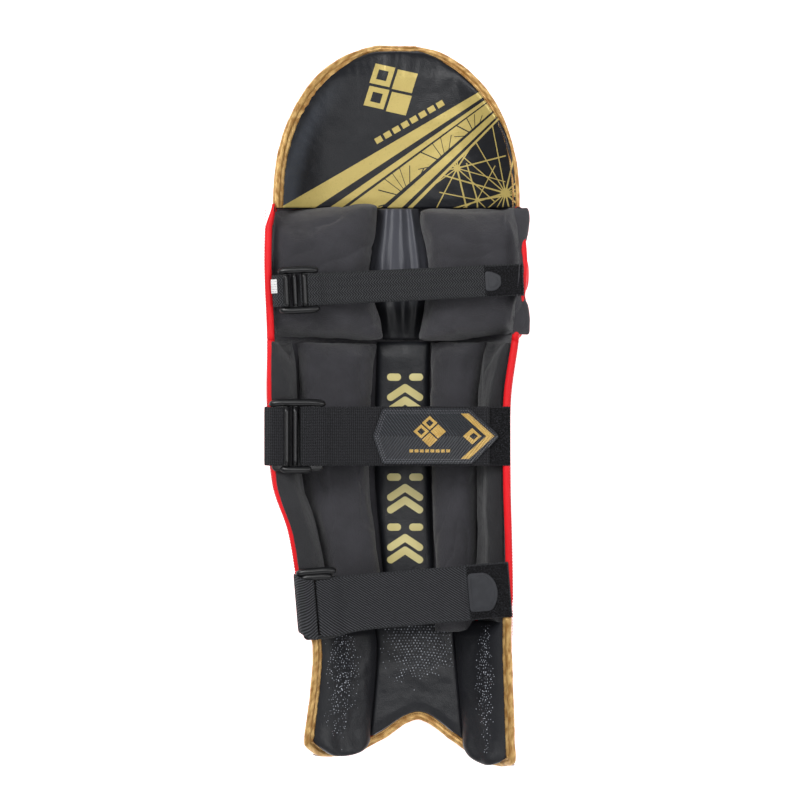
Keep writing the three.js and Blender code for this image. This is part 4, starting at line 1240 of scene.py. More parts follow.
# %% [markdown]
# ## Bound edges
#
# The raw edges of flap and foot are wrapped in a bias strip of gold satin, sewn through all the
# layers. Pulled round a curve, the strip puckers. It is modelled as a closed profile carried along
# the edge: a roll outside the wall and a flat tongue that laps onto the lining.

# %% Carry a profile along an edge
def outward(piece):
    mesh = bmesh.new()
    mesh.from_mesh(piece.data)
    bmesh.ops.recalc_face_normals(mesh, faces=mesh.faces)
    mesh.to_mesh(piece.data)
    mesh.free()


def swept(name, rings):
    """A closed solid through rings of points, with flat caps and a map along and around it."""
    rings = np.asarray(rings)
    count, corners = rings.shape[:2]
    j, i = np.mgrid[0 : count - 1, 0:corners]
    a, b = j * corners + i, j * corners + (i + 1) % corners
    faces = np.stack([a, b, b + corners, a + corners], -1).reshape(-1, 4).tolist()
    faces += [list(range(corners))[::-1], list(range((count - 1) * corners, count * corners))]
    piece = add_mesh(name, rings.reshape(-1, 3), faces)
    centres = walk(rings.mean(axis=1))
    around = np.linspace(0, 0.022, corners)
    put_map(piece, np.stack(np.broadcast_arrays(centres[:, None], around[None]), -1).reshape(-1, 2))
    outward(piece)
    return piece


def put_map(piece, places):
    """Gives each point its place on the piece's flat pattern, in metres."""
    while piece.data.uv_layers:
        piece.data.uv_layers.remove(piece.data.uv_layers[0])
    layer = piece.data.uv_layers.new(name="cloth")
    corners = np.empty(len(piece.data.loops), np.int32)
    piece.data.loops.foreach_get("vertex_index", corners)
    layer.data.foreach_set("uv", np.asarray(places, np.float32)[corners].ravel())


def along_line(walked, size, seed):
    """Noise along a line that is walked in millimetres."""
    return ripple(np.stack([walked, 0 * walked + seed, 0 * walked], -1), size, seed)


def bound_edge(name, wall, stops, sense, seed):
    """A bias strip sewn round an edge.

    Each stop is a place (u, v), how far the strip laps in, and its roll's share of the full size."""
    u, v, lap, size = np.array(stops).T
    zero = 0 * u
    middle = (wall.outside(u, v, zero) + wall.inside(u, v, zero)) / 2
    carried = np.concatenate(
        [middle, wall.read(wall.normal, u, v), mix(WALL_FRONT, WALL_LIP, u**2)[:, None] / 2, lap[:, None],
         size[:, None]], 1
    )
    walked_in = walk(middle)
    want = np.linspace(0, walked_in[-1], int(walked_in[-1] / 1.6))
    carried = np.stack([np.interp(want, walked_in, column) for column in carried.T], -1)
    path, through = carried[:, :3], unit(carried[:, 3:6])
    half, lap, size = carried[:, 6:].T
    away = unit(np.cross(through, unit(np.gradient(path, axis=0))) * sense)
    for _ in range(5):
        away[1:-1] = unit(away[:-2] + 2 * away[1:-1] + away[2:])
    radius = PIPING / 2 * size
    path = path + away * (1.3 * along_line(want, 42, seed) + 0.2)[:, None]
    path = path - through * ((1 - size) * 4.0)[:, None]
    r = radius * (1 + 0.1 * along_line(want, 16, seed + 1) + 0.05 * along_line(want, 4, seed + 2))
    lap = lap * (1 + 0.14 * along_line(want, 5, seed + 3) + 0.1 * along_line(want, 20, seed + 4))
    h = half + GAP + SOFT_EDGE * 0.4
    sag = 0.5 * along_line(want, 4.5, seed + 5)
    angles = np.radians(np.linspace(-170, 130, 18))
    flat = [(radius + GAP + r * math.cos(a), 0.35 * h + r * math.sin(a)) for a in angles]
    flat += [
        (0.5 + 0 * r, h - 0.5),
        (-0.1 + 0 * r, h + 0.9 + sag),
        (-lap * 0.5, h + 1.9 + sag),
        (-lap, h + 1.4 + sag),
        (-lap - 0.4, h + 0.4),
        (-lap * 0.5, h - 0.4),
        (0.2 + 0 * r, h - 1.8),
    ]
    rings = np.stack([path + away * out[:, None] + through * side[:, None] for out, side in flat], 1)
    seam = path - away * (lap - 1.4)[:, None] + through * (h + 1.9 + sag)[:, None]
    return swept(name, to_row(rings)), seam


def stops_of(places, lap, size=1.0):
    return [(u, v, lap, size) for u, v in places]


# How far each strip laps in: down the left side, along the end, and down the right side.
FLAP_LAPS = (4.6, 0.8, 0.2)
FOOT_LAPS = (3.0, 1.0, 3.6)
flap_stops = stops_of([(-1, v) for v in flap.v], FLAP_LAPS[0])
flap_stops += stops_of([(u, FLAP_HIGH) for u in np.linspace(-0.96, 0.96, 25)], FLAP_LAPS[1])
down = share_of(flap.v[::-1], FLAP_HIGH, FLAP_LOW)
narrowed = np.interp(down, [0, 0.2, 0.4, 0.6, 0.8], [0.9, 0.85, 0.7, 0.5, 0.6])
flap_stops += [(1, v, FLAP_LAPS[2], size) for v, size in zip(flap.v[::-1], narrowed)]
flap_binding, flap_seam = bound_edge("flap_satin_binding", flap, flap_stops, 1, 51)
made(flap_binding, gold_satin, "gold", "flap_piping")

FOOT_PIPING_LEFT = 136.0
FOOT_PIPING_RIGHT = 157.0
foot_stops = stops_of([(-1, v) for v in np.linspace(FOOT_PIPING_LEFT, 4, 50)], FOOT_LAPS[0])
foot_stops += stops_of([(u, 0) for u in np.linspace(-1, 1, 97)], FOOT_LAPS[1])
foot_stops += stops_of([(1, v) for v in np.linspace(4, FOOT_PIPING_RIGHT, 60)], FOOT_LAPS[2])
foot_binding, foot_seam = bound_edge("foot_satin_binding", shin, foot_stops, -1, 57)
made(foot_binding, gold_satin, "gold", "foot_piping")


# %% A pale cord round the hem
# The facing's own trim shows as a thin pale line under the binding at the foot.
def tube(path, radius, corners=10):
    """A round cord along a path in millimetres. The radius may vary along it."""
    path = np.asarray(path, float)
    along = unit(np.gradient(path, axis=0))
    side = unit(np.cross(along, np.array([0, 0, 1.0])))
    up = unit(np.cross(side, along))
    a = np.linspace(0, 2 * math.pi, corners, endpoint=False)
    reach = np.broadcast_to(radius, len(path))[:, None, None]
    rings = path[:, None] + reach * (side[:, None] * np.cos(a)[:, None] + up[:, None] * np.sin(a)[:, None])
    return rings


u = np.linspace(-0.86, 0.95, 200)
arch = smooth(u, -0.42, -0.34) * (1 - smooth(u, 0.3, 0.38))
hem = mix(shin.outside(u, 0 * u, 1.0 + 0 * u), shin.inside(u, 0 * u, 2.6 + 0 * u), arch[:, None])
hem[:, 1] += mix(-PIPING + 0.4, 1.6, arch)
pale_trim = thread("pale_trim", paint(176, 176, 180))
made(swept("hem_trim", to_row(tube(evenly(hem, 2), 0.7))), pale_trim, "facing")

# %% [markdown]
# ## Straps and buckles
#
# Each strap is a band of heavy webbing sewn to the right wing. It passes through a two-slot slide
# on the left, turns back over itself and is held by hook tape. A band is drawn once in side view,
# as a path with round turns, and then given its width. Its map counts millimetres along and across
# the cloth, so the weave runs round the turn as it does on the real strap.

# %% Sizes of the straps
WEBBING = 1.6
BUCKLE_PLATE = 4.0
BUCKLE_BAR = 6.0
BUCKLE_SLOT = 4.0
BUCKLE_RAIL = 5.0
BUCKLE_PLAY = 1.0
BUCKLE_CORNER = 5.0
PLAY = 0.3
STRAPS = [
    dict(name="ankle", width=58, at=0.225, anchor=-0.767, fold=-0.606, returned=0.595, end=0.93,
         left_bar=4.5, right_bar=16, slope=4.8, lean=9),
    dict(name="calf", width=61, at=0.459, anchor=-1.02, fold=-0.74, returned=0.76, end=0.925,
         left_bar=17, right_bar=22, slope=0, lean=0),
    dict(name="knee", width=33, at=0.661, anchor=-0.955, fold=-0.74, returned=0.724, end=1.03,
         left_bar=9, right_bar=16, slope=2.7, lean=0),
]
PLATE_LOW = WEBBING + PLAY
PLATE_HIGH = PLATE_LOW + BUCKLE_PLATE
OVER_PLATE = PLATE_HIGH + PLAY + WEBBING / 2
OVER_STRAP = WEBBING + PLAY + WEBBING / 2
STRAP_TOP = OVER_STRAP + WEBBING / 2 + PLAY


def laid(strap, points):
    """Places drawn level around a strap's turn, in mm, laid on the wings' edges in the frame."""
    turn = Matrix.Rotation(math.radians(strap["slope"]), 3, "Z")
    turn = turn @ Matrix.Rotation(math.radians(strap["lean"]), 3, "X")
    points = np.asarray(points, float) @ np.array(turn).T
    spot = (strap["fold"] * HALF_WIDTH, strap["at"] * PAD_LENGTH, strap["height"])
    return to_row(points + np.array(spot))


for strap in STRAPS:
    half = strap["width"] / 2 + BUCKLE_PLAY + BUCKLE_RAIL
    lean = math.radians(strap["lean"])
    plate_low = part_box(f"{strap['name']}_buckle")[0][2] * 1000 - SHIFT[2]
    strap["height"] = plate_low + half * math.sin(lean) - PLATE_LOW * math.cos(lean)
    strap["right_edge"] = PLATE_LOW
    strap["bar_left"] = strap["right_edge"] - BUCKLE_SLOT - BUCKLE_BAR
    strap["left_edge"] = strap["bar_left"] - BUCKLE_SLOT
    strap["plate_left"] = strap["left_edge"] - strap["left_bar"]
    strap["plate_right"] = strap["right_edge"] + strap["right_bar"]
    print(strap["name"], "strap lies at", round(strap["height"], 1), "mm")


def across_pad(strap, place):
    return (place - strap["fold"]) * HALF_WIDTH


# %% Bands of webbing
def rounded_path(corners, radius, step=1.5):
    """A path in side view whose corners are turned with this radius."""
    corners = [Vector(c) for c in corners]
    path = [corners[0]]
    for before, corner, after in zip(corners, corners[1:], corners[2:]):
        reach = min(radius, (corner - before).length * 0.49, (after - corner).length * 0.49)
        first = corner + (before - corner).normalized() * reach
        last = corner + (after - corner).normalized() * reach
        for t in np.linspace(0, 1, 7):
            path.append(first.lerp(corner, t).lerp(corner.lerp(last, t), t))
    path.append(corners[-1])
    return evenly(np.array([(p.x, 0.0, p.y) for p in path]), step)


def band(name, strap, corners, width, finish, node=None, thickness=WEBBING, seed=1, drape=0.0, lift=0.0):
    """Webbing of a given width that follows a path in side view, with woven round edges.

    drape lets its lower edge hang near the turn, and lift draws both edges up at its left end."""
    path = rounded_path(corners, 2.8)
    along = unit(np.gradient(path, axis=0))
    up = np.stack([-along[:, 2], 0 * along[:, 0], along[:, 0]], -1)
    walked = walk(path)
    columns = 30
    t = np.linspace(-1, 1, columns)
    edge = np.sqrt(np.maximum(0, 1 - np.abs(t) ** 14)) * 0.72 + 0.28
    sway = 0.4 * along_line(walked, 45, seed) + 0.15 * along_line(walked, 9, seed + 2)
    fray = 0.1 * np.sin(walked * 2.4)
    near_fold = np.exp(-((path[:, 0] / 34) ** 2)) * drape
    lower = np.maximum(0, -t)[None, :] ** 1.5
    ys = (t * width / 2)[None, :] * (1 + fray[:, None] / width * 2) + sway[:, None]
    ys = ys - near_fold[:, None] * lower + lift * smooth(-path[:, 0], 6, 24)[:, None]
    dip = -0.45 * near_fold[:, None] * lower**3
    billow = 0.35 * ripple(np.stack(np.broadcast_arrays(walked[:, None], ys, 0 * ys), -1), 28, seed + 4)
    sheets = []
    for side in (-1, 1):
        thick = side * thickness / 2 * edge
        sheet = path[:, None, :] + up[:, None, :] * thick[None, :, None]
        sheet[..., 1] = ys
        sheet[..., 2] += dip + billow * np.sign(up[:, 2:3])
        sheets.append(sheet)
    points, faces = closed_sheet(sheets[0], sheets[1], bulge=0.15, steps=3)
    piece = add_mesh(name, laid(strap, points), faces)
    size = len(path) * columns
    cloth_map = np.zeros((len(points), 2))
    flat = np.stack(np.broadcast_arrays((t * width / 2)[None, :], walked[:, None]), -1)
    cloth_map[:size] = cloth_map[size : 2 * size] = flat.reshape(-1, 2) * 0.001
    rest = points[2 * size :]
    nearest = np.argmin(np.abs(rest[:, None, 0] - path[None, :, 0]), axis=1)
    cloth_map[2 * size :] = np.stack([rest[:, 1], walked[nearest]], -1) * 0.001
    put_map(piece, cloth_map)
    outward(piece)
    return made(piece, finish, "webbing", *([node] if node else []))


for seed, strap in enumerate(STRAPS):
    name, width = strap["name"], strap["width"]
    slack = name == "ankle"
    drape = 6.0 if slack else 0.0
    end = across_pad(strap, strap["end"])
    returned = across_pad(strap, strap["returned"])
    corners = [
        (end, WEBBING / 2),
        (WEBBING / 2, WEBBING / 2),
        (WEBBING / 2, OVER_PLATE),
        (strap["plate_right"] + PLAY, OVER_PLATE),
        (strap["plate_right"] + 9, OVER_STRAP),
        (returned, OVER_STRAP),
    ]
    band(f"{name}_strap_band", strap, corners, width, WEAVES[name], f"{name}_strap", seed=seed, drape=drape)
    start = across_pad(strap, strap["anchor"])
    turn = strap["left_edge"] + PLAY + WEBBING / 2
    corners = [
        (start, WEBBING / 2),
        (turn, WEBBING / 2),
        (turn, OVER_PLATE),
        (strap["plate_left"] - PLAY, OVER_PLATE),
        (start, OVER_STRAP),
    ]
    if slack:
        corners[2:4] = [(turn, PLATE_HIGH), (turn + 9.3, OVER_PLATE + 0.6), (turn + 9.3, OVER_PLATE + 3.4),
                        (strap["plate_left"] - PLAY, OVER_PLATE + 2.2)]
    band(
        f"{name}_anchor_loop", strap, corners, width - 0.5, WEAVES[name], f"{name}_anchor",
        seed=seed + 7, drape=drape, lift=7.0 if slack else 0.0,
    )
    corners = [(returned + 1.5, WEBBING + 0.5), (end - 1.5, WEBBING + 0.5)]
    band(f"{name}_hook_tape", strap, corners, width - 3, hook_tape, thickness=0.9, seed=seed + 3)

# %% Anchor tabs down the left wing
for name in ("ankle", "calf"):
    strap = next(s for s in STRAPS if s["name"] == name)
    slope = math.tan(math.radians(strap["slope"]))
    middle = strap["at"] * PAD_LENGTH + across_pad(strap, strap["anchor"]) * slope
    u, v = grid(-1, -1 + 4 / CAD_COLUMNS, 16, middle - strap["width"] / 2, middle + strap["width"] / 2, 30)
    low, high = shin.outside(u, v, 2.4 + 0 * u), shin.outside(u, v, 0.8 + 0 * u)
    tab = sewn(f"{name}_wing_tab", high, low, bulge=0.2)
    outward(tab)
    points = points_of(tab.data) * 1000
    put_map(tab, np.stack([points[:, 1], points[:, 2]], -1) * 0.001)
    made(tab, WEAVES[name], "webbing", f"{name}_anchor_tab")

# %% Slides
def plate(name, strap, outlines, low, high, round_over, finish, slot, *nodes):
    """A flat moulding cut from outlines, with its edges rounded over."""
    curve = bpy.data.curves.new(name, "CURVE")
    curve.dimensions, curve.fill_mode = "2D", "BOTH"
    curve.extrude = max((high - low) / 2 - round_over, 0.01)
    curve.bevel_depth, curve.bevel_resolution = round_over, 3
    curve.offset = -round_over
    for outline in outlines:
        line = curve.splines.new("POLY")
        line.points.add(len(outline) - 1)
        for point, (x, y) in zip(line.points, outline):
            point.co = (x, y, 0, 1)
        line.use_cyclic_u = True
    drawing = bpy.data.objects.new(name, curve)
    bpy.context.scene.collection.objects.link(drawing)
    graph = bpy.context.evaluated_depsgraph_get()
    mesh = bpy.data.meshes.new_from_object(drawing.evaluated_get(graph))
    bpy.data.objects.remove(drawing)
    joined = bmesh.new()
    joined.from_mesh(mesh)
    bmesh.ops.remove_doubles(joined, verts=joined.verts, dist=0.001)
    bmesh.ops.recalc_face_normals(joined, faces=joined.faces)
    for face in joined.faces:
        face.smooth = abs(face.normal.z) < 0.98
    joined.to_mesh(mesh)
    joined.free()
    mesh.name = name
    local = points_of(mesh) + np.array([0, 0, (low + high) / 2])
    piece = bpy.data.objects.new(name, mesh)
    bpy.context.scene.collection.objects.link(piece)
    put_map(piece, local[:, :2] * 0.001)
    put_points(mesh, laid(strap, local))
    mesh.set_sharp_from_angle(angle=math.radians(60))
    return made(piece, finish, slot, *nodes)


def rounded_box(left, right, low, high, corner, steps=6):
    outline = []
    corners = [(right, high, 0), (left, high, 1), (left, low, 2), (right, low, 3)]
    for x, y, quarter in corners:
        cx = x - corner if x == right else x + corner
        cy = y - corner if y == high else y + corner
        for t in np.linspace(quarter, quarter + 1, steps + 1) * math.pi / 2:
            outline.append((cx + corner * math.cos(t), cy + corner * math.sin(t)))
    return outline


# The moulding is a flat plate with two slots. Its long rails are thick and round, because they carry
# the pull of the strap, and they curl down at their ends.
RAIL_RADIUS = 3.9
RAIL_INWARDS, RAIL_LIFT, RAIL_CURL = 2.4, 1.8, 2.2
# Each rail's ends, measured from the plate's, and how far it stands off the slots, up or down.
RAILS = dict(
    knee=[(-1, 2, 3.4), (-1, 2, -3.4)],
    calf=[(-3, 3, 3.4), (9, -12, -3.4)],
    ankle=[(-2, 5, 6.8), (2, 0, 0.9)],
)
for strap in STRAPS:
    name = strap["name"]
    slot_half = strap["width"] / 2 + BUCKLE_PLAY
    half = slot_half + BUCKLE_RAIL
    outlines = [
        rounded_box(strap["plate_left"], strap["plate_right"], -half, half, BUCKLE_CORNER),
        rounded_box(strap["left_edge"], strap["bar_left"], -slot_half, slot_half, 1.2)[::-1],
        rounded_box(strap["bar_left"] + BUCKLE_BAR, strap["right_edge"], -slot_half, slot_half, 1.2)[::-1],
    ]
    plate(
        f"{name}_slide", strap, outlines, PLATE_LOW, PLATE_HIGH, 1.7,
        satin_plastic, "plastic", f"{name}_buckle",
    )
    for n, (left, right, y) in enumerate(RAILS[name]):
        t = np.linspace(-1, 1, 30)
        left, right = strap["plate_left"] + left, strap["plate_right"] + right
        side = math.copysign(1, y)
        rail = np.stack([
            mix(left, right, (t + 1) / 2),
            side * (slot_half + abs(y) - RAIL_INWARDS * np.abs(t) ** 5),
            (PLATE_LOW + PLATE_HIGH) / 2 + RAIL_LIFT - RAIL_CURL * np.abs(t) ** 4,
        ], -1)
        rings = tube(rail, RAIL_RADIUS * np.sqrt(np.maximum(0.02, 1 - np.abs(t) ** 12)), 14)
        made(swept(f"{name}_slide_rail_{n}", laid(strap, rings)), satin_plastic, "plastic")
    slot_y = np.linspace(-slot_half + 1, slot_half - 1, 12)
    bars = [(strap["bar_left"] + BUCKLE_BAR / 2, PLATE_HIGH - 0.4, 2.7)]
    if name != "ankle":
        bars.append((strap["left_edge"] - 1.9, OVER_PLATE + 0.8, 2.9))
    if name == "knee":
        bars.append((strap["right_edge"] + 3.2, OVER_PLATE + 0.6, 3.0))
    for n, (x, z, radius) in enumerate(bars):
        rings = tube(np.stack([0 * slot_y + x, slot_y, 0 * slot_y + z], -1), radius, 12)
        made(swept(f"{name}_slide_bar_{n}", laid(strap, rings)), satin_plastic, "plastic")

# %% Tips, patch and label
KNEE_TIP = [(0.3, 0.62), (7, 0.6), (17, 0.3), (17, -0.3), (11, -0.62), (0.3, -0.62)]
ANKLE_TIP = [(0.3, 0.7), (20, 0.7), (28, 0.42), (31, 0.05), (30, -0.3), (24, -0.7), (0.3, -0.7)]
CALF_PATCH = [(-121, 0), (-111, -0.95), (-18, -0.95), (11, 0), (-21, 0.95), (-111, 0.95)]


def softened(corners, radius, steps=5):
    """A polygon with its corners rounded."""
    corners = [Vector(c) for c in corners]
    outline = []
    for k, corner in enumerate(corners):
        before, after = corners[k - 1], corners[(k + 1) % len(corners)]
        reach = min(radius, (before - corner).length / 2.2, (after - corner).length / 2.2)
        first = corner + (before - corner).normalized() * reach
        last = corner + (after - corner).normalized() * reach
        for t in np.linspace(0, 1, steps):
            outline.append(tuple(first.lerp(corner, t).lerp(corner.lerp(last, t), t)))
    return outline


def on_strap(strap, corners, inset=0.0):
    """A table's outline in the strap's own millimetres, drawn in from its edges by an inset."""
    end = across_pad(strap, strap["returned"])
    half = strap["width"] / 2
    points = np.array([(end + x, y * half) for x, y in corners])
    before, after = np.roll(points, 1, axis=0), np.roll(points, -1, axis=0)
    first, second = unit(points - before), unit(after - points)
    sense = np.sign(np.sum(points[:, 0] * after[:, 1] - points[:, 1] * after[:, 0]))
    normal = np.stack([-first[:, 1], first[:, 0]], -1) + np.stack([-second[:, 1], second[:, 0]], -1)
    normal = unit(normal) * sense
    turn = np.clip(np.sum(normal * np.stack([-first[:, 1], first[:, 0]], -1) * sense, axis=1), 0.4, 1)
    return [tuple(p) for p in points + normal * (inset / turn)[:, None]]


ankle, calf, knee_strap = STRAPS
for strap, corners, radius in ((knee_strap, KNEE_TIP, 3), (ankle, ANKLE_TIP, 5)):
    name = strap["name"]
    outline = softened(on_strap(strap, corners), radius)
    plate(
        f"{name}_pull_tip", strap, [outline], PLATE_LOW, PLATE_LOW + 2.0, 0.7,
        grey_rubber, "rubber", f"{name}_strap_tip",
    )
    panel = softened(on_strap(strap, corners, 3.5), radius * 0.6)
    plate(f"{name}_pull_panel", strap, [panel], PLATE_LOW + 1.7, PLATE_LOW + 2.5, 0.3, grey_rubber, "rubber")

patch = plate(
    "calf_patch_cover", calf, [softened(on_strap(calf, CALF_PATCH), 4)], STRAP_TOP, STRAP_TOP + 2.0, 0.8,
    patch_leather, "leather", "calf_strap_patch",
)
end = across_pad(calf, calf["returned"])
places = np.array([tuple(d.uv) for d in patch.data.uv_layers["cloth"].data])
places[:, 0] -= (end + 11) * 0.001
patch.data.uv_layers["cloth"].data.foreach_set("uv", places.astype(np.float32).ravel())

start = across_pad(knee_strap, knee_strap["anchor"])
stop = knee_strap["plate_left"] - PLAY
angle = math.atan2(OVER_PLATE - OVER_STRAP, stop - start)
lift = WEBBING / 2 + PLAY + 0.25
length = math.hypot(stop - start, OVER_PLATE - OVER_STRAP) - 1
t, y = grid(0.5, length + 0.5, 12, -7.25, 7.25, 16)
curl = lift + 0.25 * np.sin(t / length * 5)
centre_line = np.stack([
    start + t * math.cos(angle) - curl * math.sin(angle), y,
    OVER_STRAP + t * math.sin(angle) + curl * math.cos(angle)], -1)
normal = np.array([-math.sin(angle), 0, math.cos(angle)]) * 0.25
points, faces = closed_sheet(centre_line - normal, centre_line + normal, 0.05)
label = add_mesh("plain_size_label", laid(knee_strap, points + np.array([-1.0, 5.0, 0.3])), faces)
outward(label)
made(label, white_label, "label", "size_label")

# %% [markdown]
# ## Stitches
#
# Thread is laid by Geometry Nodes. The tree takes lines along the seams, cuts them into equal
# steps, puts one short thread on each step and turns it along the seam. The step, the length and
# the thickness are inputs, so each row of sewing is set in its own cell.

# %% The stitch tree
def modifier_input(tree, name):
    return next(i.identifier for i in tree.interface.items_tree if i.item_type == "SOCKET" and i.name == name)


def instance_tree(name, floats, material):
    """Starts a tree that sets copies of one form on points and gives them a material."""
    tree = bpy.data.node_groups.new(name, "GeometryNodeTree")
    sockets = [("Geometry", "INPUT", "Geometry")] + [(label, "INPUT", "Float") for label in floats]
    sockets += [(material, "INPUT", "Material"), ("Geometry", "OUTPUT", "Geometry")]
    for label, way, kind in sockets:
        tree.interface.new_socket(label, in_out=way, socket_type=f"NodeSocket{kind}")
    add, join = tree.nodes.new, tree.links.new
    given, result = add("NodeGroupInput"), add("NodeGroupOutput")
    place, real = add("GeometryNodeInstanceOnPoints"), add("GeometryNodeRealizeInstances")
    ink = add("GeometryNodeSetMaterial")
    join(place.outputs[0], real.inputs[0])
    join(real.outputs[0], ink.inputs["Geometry"])
    join(given.outputs[material], ink.inputs["Material"])
    join(ink.outputs[0], result.inputs[0])
    return tree, given, place


def stitch_tree():
    """Stitches laid end to end along a line, every Step."""
    tree, given, place = instance_tree("stitches", ("Step", "Length", "Thickness"), "Thread")
    add, join = tree.nodes.new, tree.links.new
    curve, resample = add("GeometryNodeMeshToCurve"), add("GeometryNodeResampleCurve")
    resample.mode = "LENGTH"
    stitch, squash = add("GeometryNodeMeshUVSphere"), add("ShaderNodeCombineXYZ")
    stitch.inputs["Segments"].default_value, stitch.inputs["Rings"].default_value = 8, 5
    stitch.inputs["Radius"].default_value = 0.5
    tangent, align = add("GeometryNodeInputTangent"), add("FunctionNodeAlignRotationToVector")
    align.axis = "X"
    join(given.outputs["Geometry"], curve.inputs["Mesh"])
    join(curve.outputs[0], resample.inputs["Curve"])
    join(given.outputs["Step"], resample.inputs["Length"])
    join(given.outputs["Length"], squash.inputs["X"])
    join(given.outputs["Thickness"], squash.inputs["Y"])
    join(given.outputs["Thickness"], squash.inputs["Z"])
    join(tangent.outputs[0], align.inputs["Vector"])
    join(resample.outputs[0], place.inputs["Points"])
    join(stitch.outputs["Mesh"], place.inputs["Instance"])
    join(align.outputs[0], place.inputs["Rotation"])
    join(squash.outputs[0], place.inputs["Scale"])
    return tree


STITCHES = stitch_tree()


def grown(piece, tree, **values):
    """Runs a node tree on a piece and keeps its result as a plain mesh."""
    modifier = piece.modifiers.new("nodes", "NODES")
    modifier.node_group = tree
    for name, value in values.items():
        modifier[modifier_input(tree, name)] = value
    graph = bpy.context.evaluated_depsgraph_get()
    mesh = bpy.data.meshes.new_from_object(piece.evaluated_get(graph))
    piece.modifiers.clear()
    piece.data = mesh
    return piece


def sewing(name, lines, finish, slot, step=3.2, length=2.5, thickness=0.8):
    """Rows of stitches along lines of places in the frame, in metres."""
    points, edges = [], []
    for line in lines:
        first = len(points)
        points += [tuple(p) for p in np.asarray(line)]
        edges += [(k, k + 1) for k in range(first, len(points) - 1)]
    mesh = bpy.data.meshes.new(name)
    mesh.from_pydata(points, edges, [])
    rows = bpy.data.objects.new(name, mesh)
    bpy.context.scene.collection.objects.link(rows)
    values = dict(Step=step * 0.001, Length=length * 0.001, Thickness=thickness * 0.001)
    grown(rows, STITCHES, **values, Thread=finish.material)
    rows.data.shade_smooth()
    return made(rows, finish, slot)


# %% Rows of sewing
sewing("flap_binding_stitches", [to_row(flap_seam)], gold_thread, "gold", 2.6, 1.9, 0.6)
sewing("foot_binding_stitches", [to_row(foot_seam)], gold_thread, "gold", 2.6, 1.9, 0.6)

knee_rows = np.linspace(knee_low + 2, knee_high - 2, 60)
shin_rows = np.linspace(BOLSTER_LOW, BOLSTER_HIGH, 100)
sewing(
    "red_edge_stitches",
    [
        to_row(knee.outside(-1 + 0.012 + 0 * knee_rows, knee_rows, 0.2 + 0 * knee_rows)),
        to_row(shin.outside(-1 + 0.012 + 0 * shin_rows, shin_rows, 0.2 + 0 * shin_rows)),
        to_row(shin.outside(1 - 0.012 + 0 * shin_rows, shin_rows, 0.2 + 0 * shin_rows)),
    ],
    red_thread, "facing",
)


def box_rows(strap, left, right, inset, height):
    half = strap["width"] / 2 - inset
    corners = [(left, -half), (right, -half), (right, half), (left, half), (left, -half)]
    path = evenly(np.array([(x, y, height) for x, y in corners], float), 1.0)
    return laid(strap, path)


strap_lines = []
for strap in STRAPS:
    returned = across_pad(strap, strap["returned"])
    top = OVER_STRAP + WEBBING / 2 + 0.1
    strap_lines.append(box_rows(strap, returned - 5, returned - 1.6, 2.2, top))
    left = across_pad(strap, strap["anchor"])
    half = strap["width"] / 2 - 2
    strap_lines.append(laid(strap, [(left + 3, -half, top + 1.0), (left + 3, half, top + 1.0)]))
sewing("strap_stitches", strap_lines, black_thread, "webbing", 2.8, 2.1, 0.7)

patch_lines = []
for inset in (2.6, 5.0):
    patch_line = on_strap(calf, CALF_PATCH, inset)
    patch_line.append(patch_line[0])
    path = evenly(np.array([(x, y, STRAP_TOP + 2.0) for x, y in patch_line]), 1.0)
    patch_lines.append(laid(calf, path))
sewing("patch_stitches", patch_lines, grey_thread, "leather", 2.6, 1.9, 0.55)

# %% [markdown]
# ## Grip dots
#
# The foot panels carry small raised dots of clear resin that keep the pad from slipping on the
# boot. Their lattice is a second small tree, which sets one low dome on each place that it is given
# and stands it upright on the panel.

# %% Dots on the foot panels
def dot_tree():
    """A dome on each point, stood along its attribute up and sized by its attribute worn."""
    tree, given, place = instance_tree("grip_dots", ("Width", "Height"), "Resin")
    add, join = tree.nodes.new, tree.links.new
    up, align = add("GeometryNodeInputNamedAttribute"), add("FunctionNodeAlignRotationToVector")
    up.data_type = "FLOAT_VECTOR"
    up.inputs["Name"].default_value = "up"
    graded, grown_by = add("GeometryNodeInputNamedAttribute"), add("ShaderNodeVectorMath")
    graded.data_type = "FLOAT"
    graded.inputs["Name"].default_value = "graded"
    grown_by.operation = "SCALE"
    align.axis = "Z"
    dome, squash = add("GeometryNodeMeshIcoSphere"), add("ShaderNodeCombineXYZ")
    dome.inputs["Radius"].default_value = 0.5
    dome.inputs["Subdivisions"].default_value = 2
    join(given.outputs["Geometry"], place.inputs["Points"])
    join(up.outputs["Attribute"], align.inputs["Vector"])
    join(align.outputs[0], place.inputs["Rotation"])
    join(dome.outputs["Mesh"], place.inputs["Instance"])
    for side in ("X", "Y"):
        join(given.outputs["Width"], squash.inputs[side])
    join(given.outputs["Height"], squash.inputs["Z"])
    join(squash.outputs[0], grown_by.inputs[0])
    join(graded.outputs["Attribute"], grown_by.inputs["Scale"])
    join(grown_by.outputs[0], place.inputs["Scale"])
    return tree


DOTS = dot_tree()
DOT_PITCH = 3.3
DOT_MARGIN = 4
LEAST_DOT = 0.25
RESIN = paint(128, 132, 142)
resin = Finish("grip_resin", RESIN, 0.2, Coat_Weight=0.6, Coat_Roughness=0.1)
# Painted glints: the resin runs from dark grey to near white in patches, as if the dots caught the light
# there.
painted_glints = resin.noise(3.5, 2).eased(0.35, 0.7)
resin.set("Base Color", resin.colours(painted_glints, paint(48, 50, 56), paint(186, 190, 200)))
resin.bump(resin.noise(0.8, 2), 0.03)

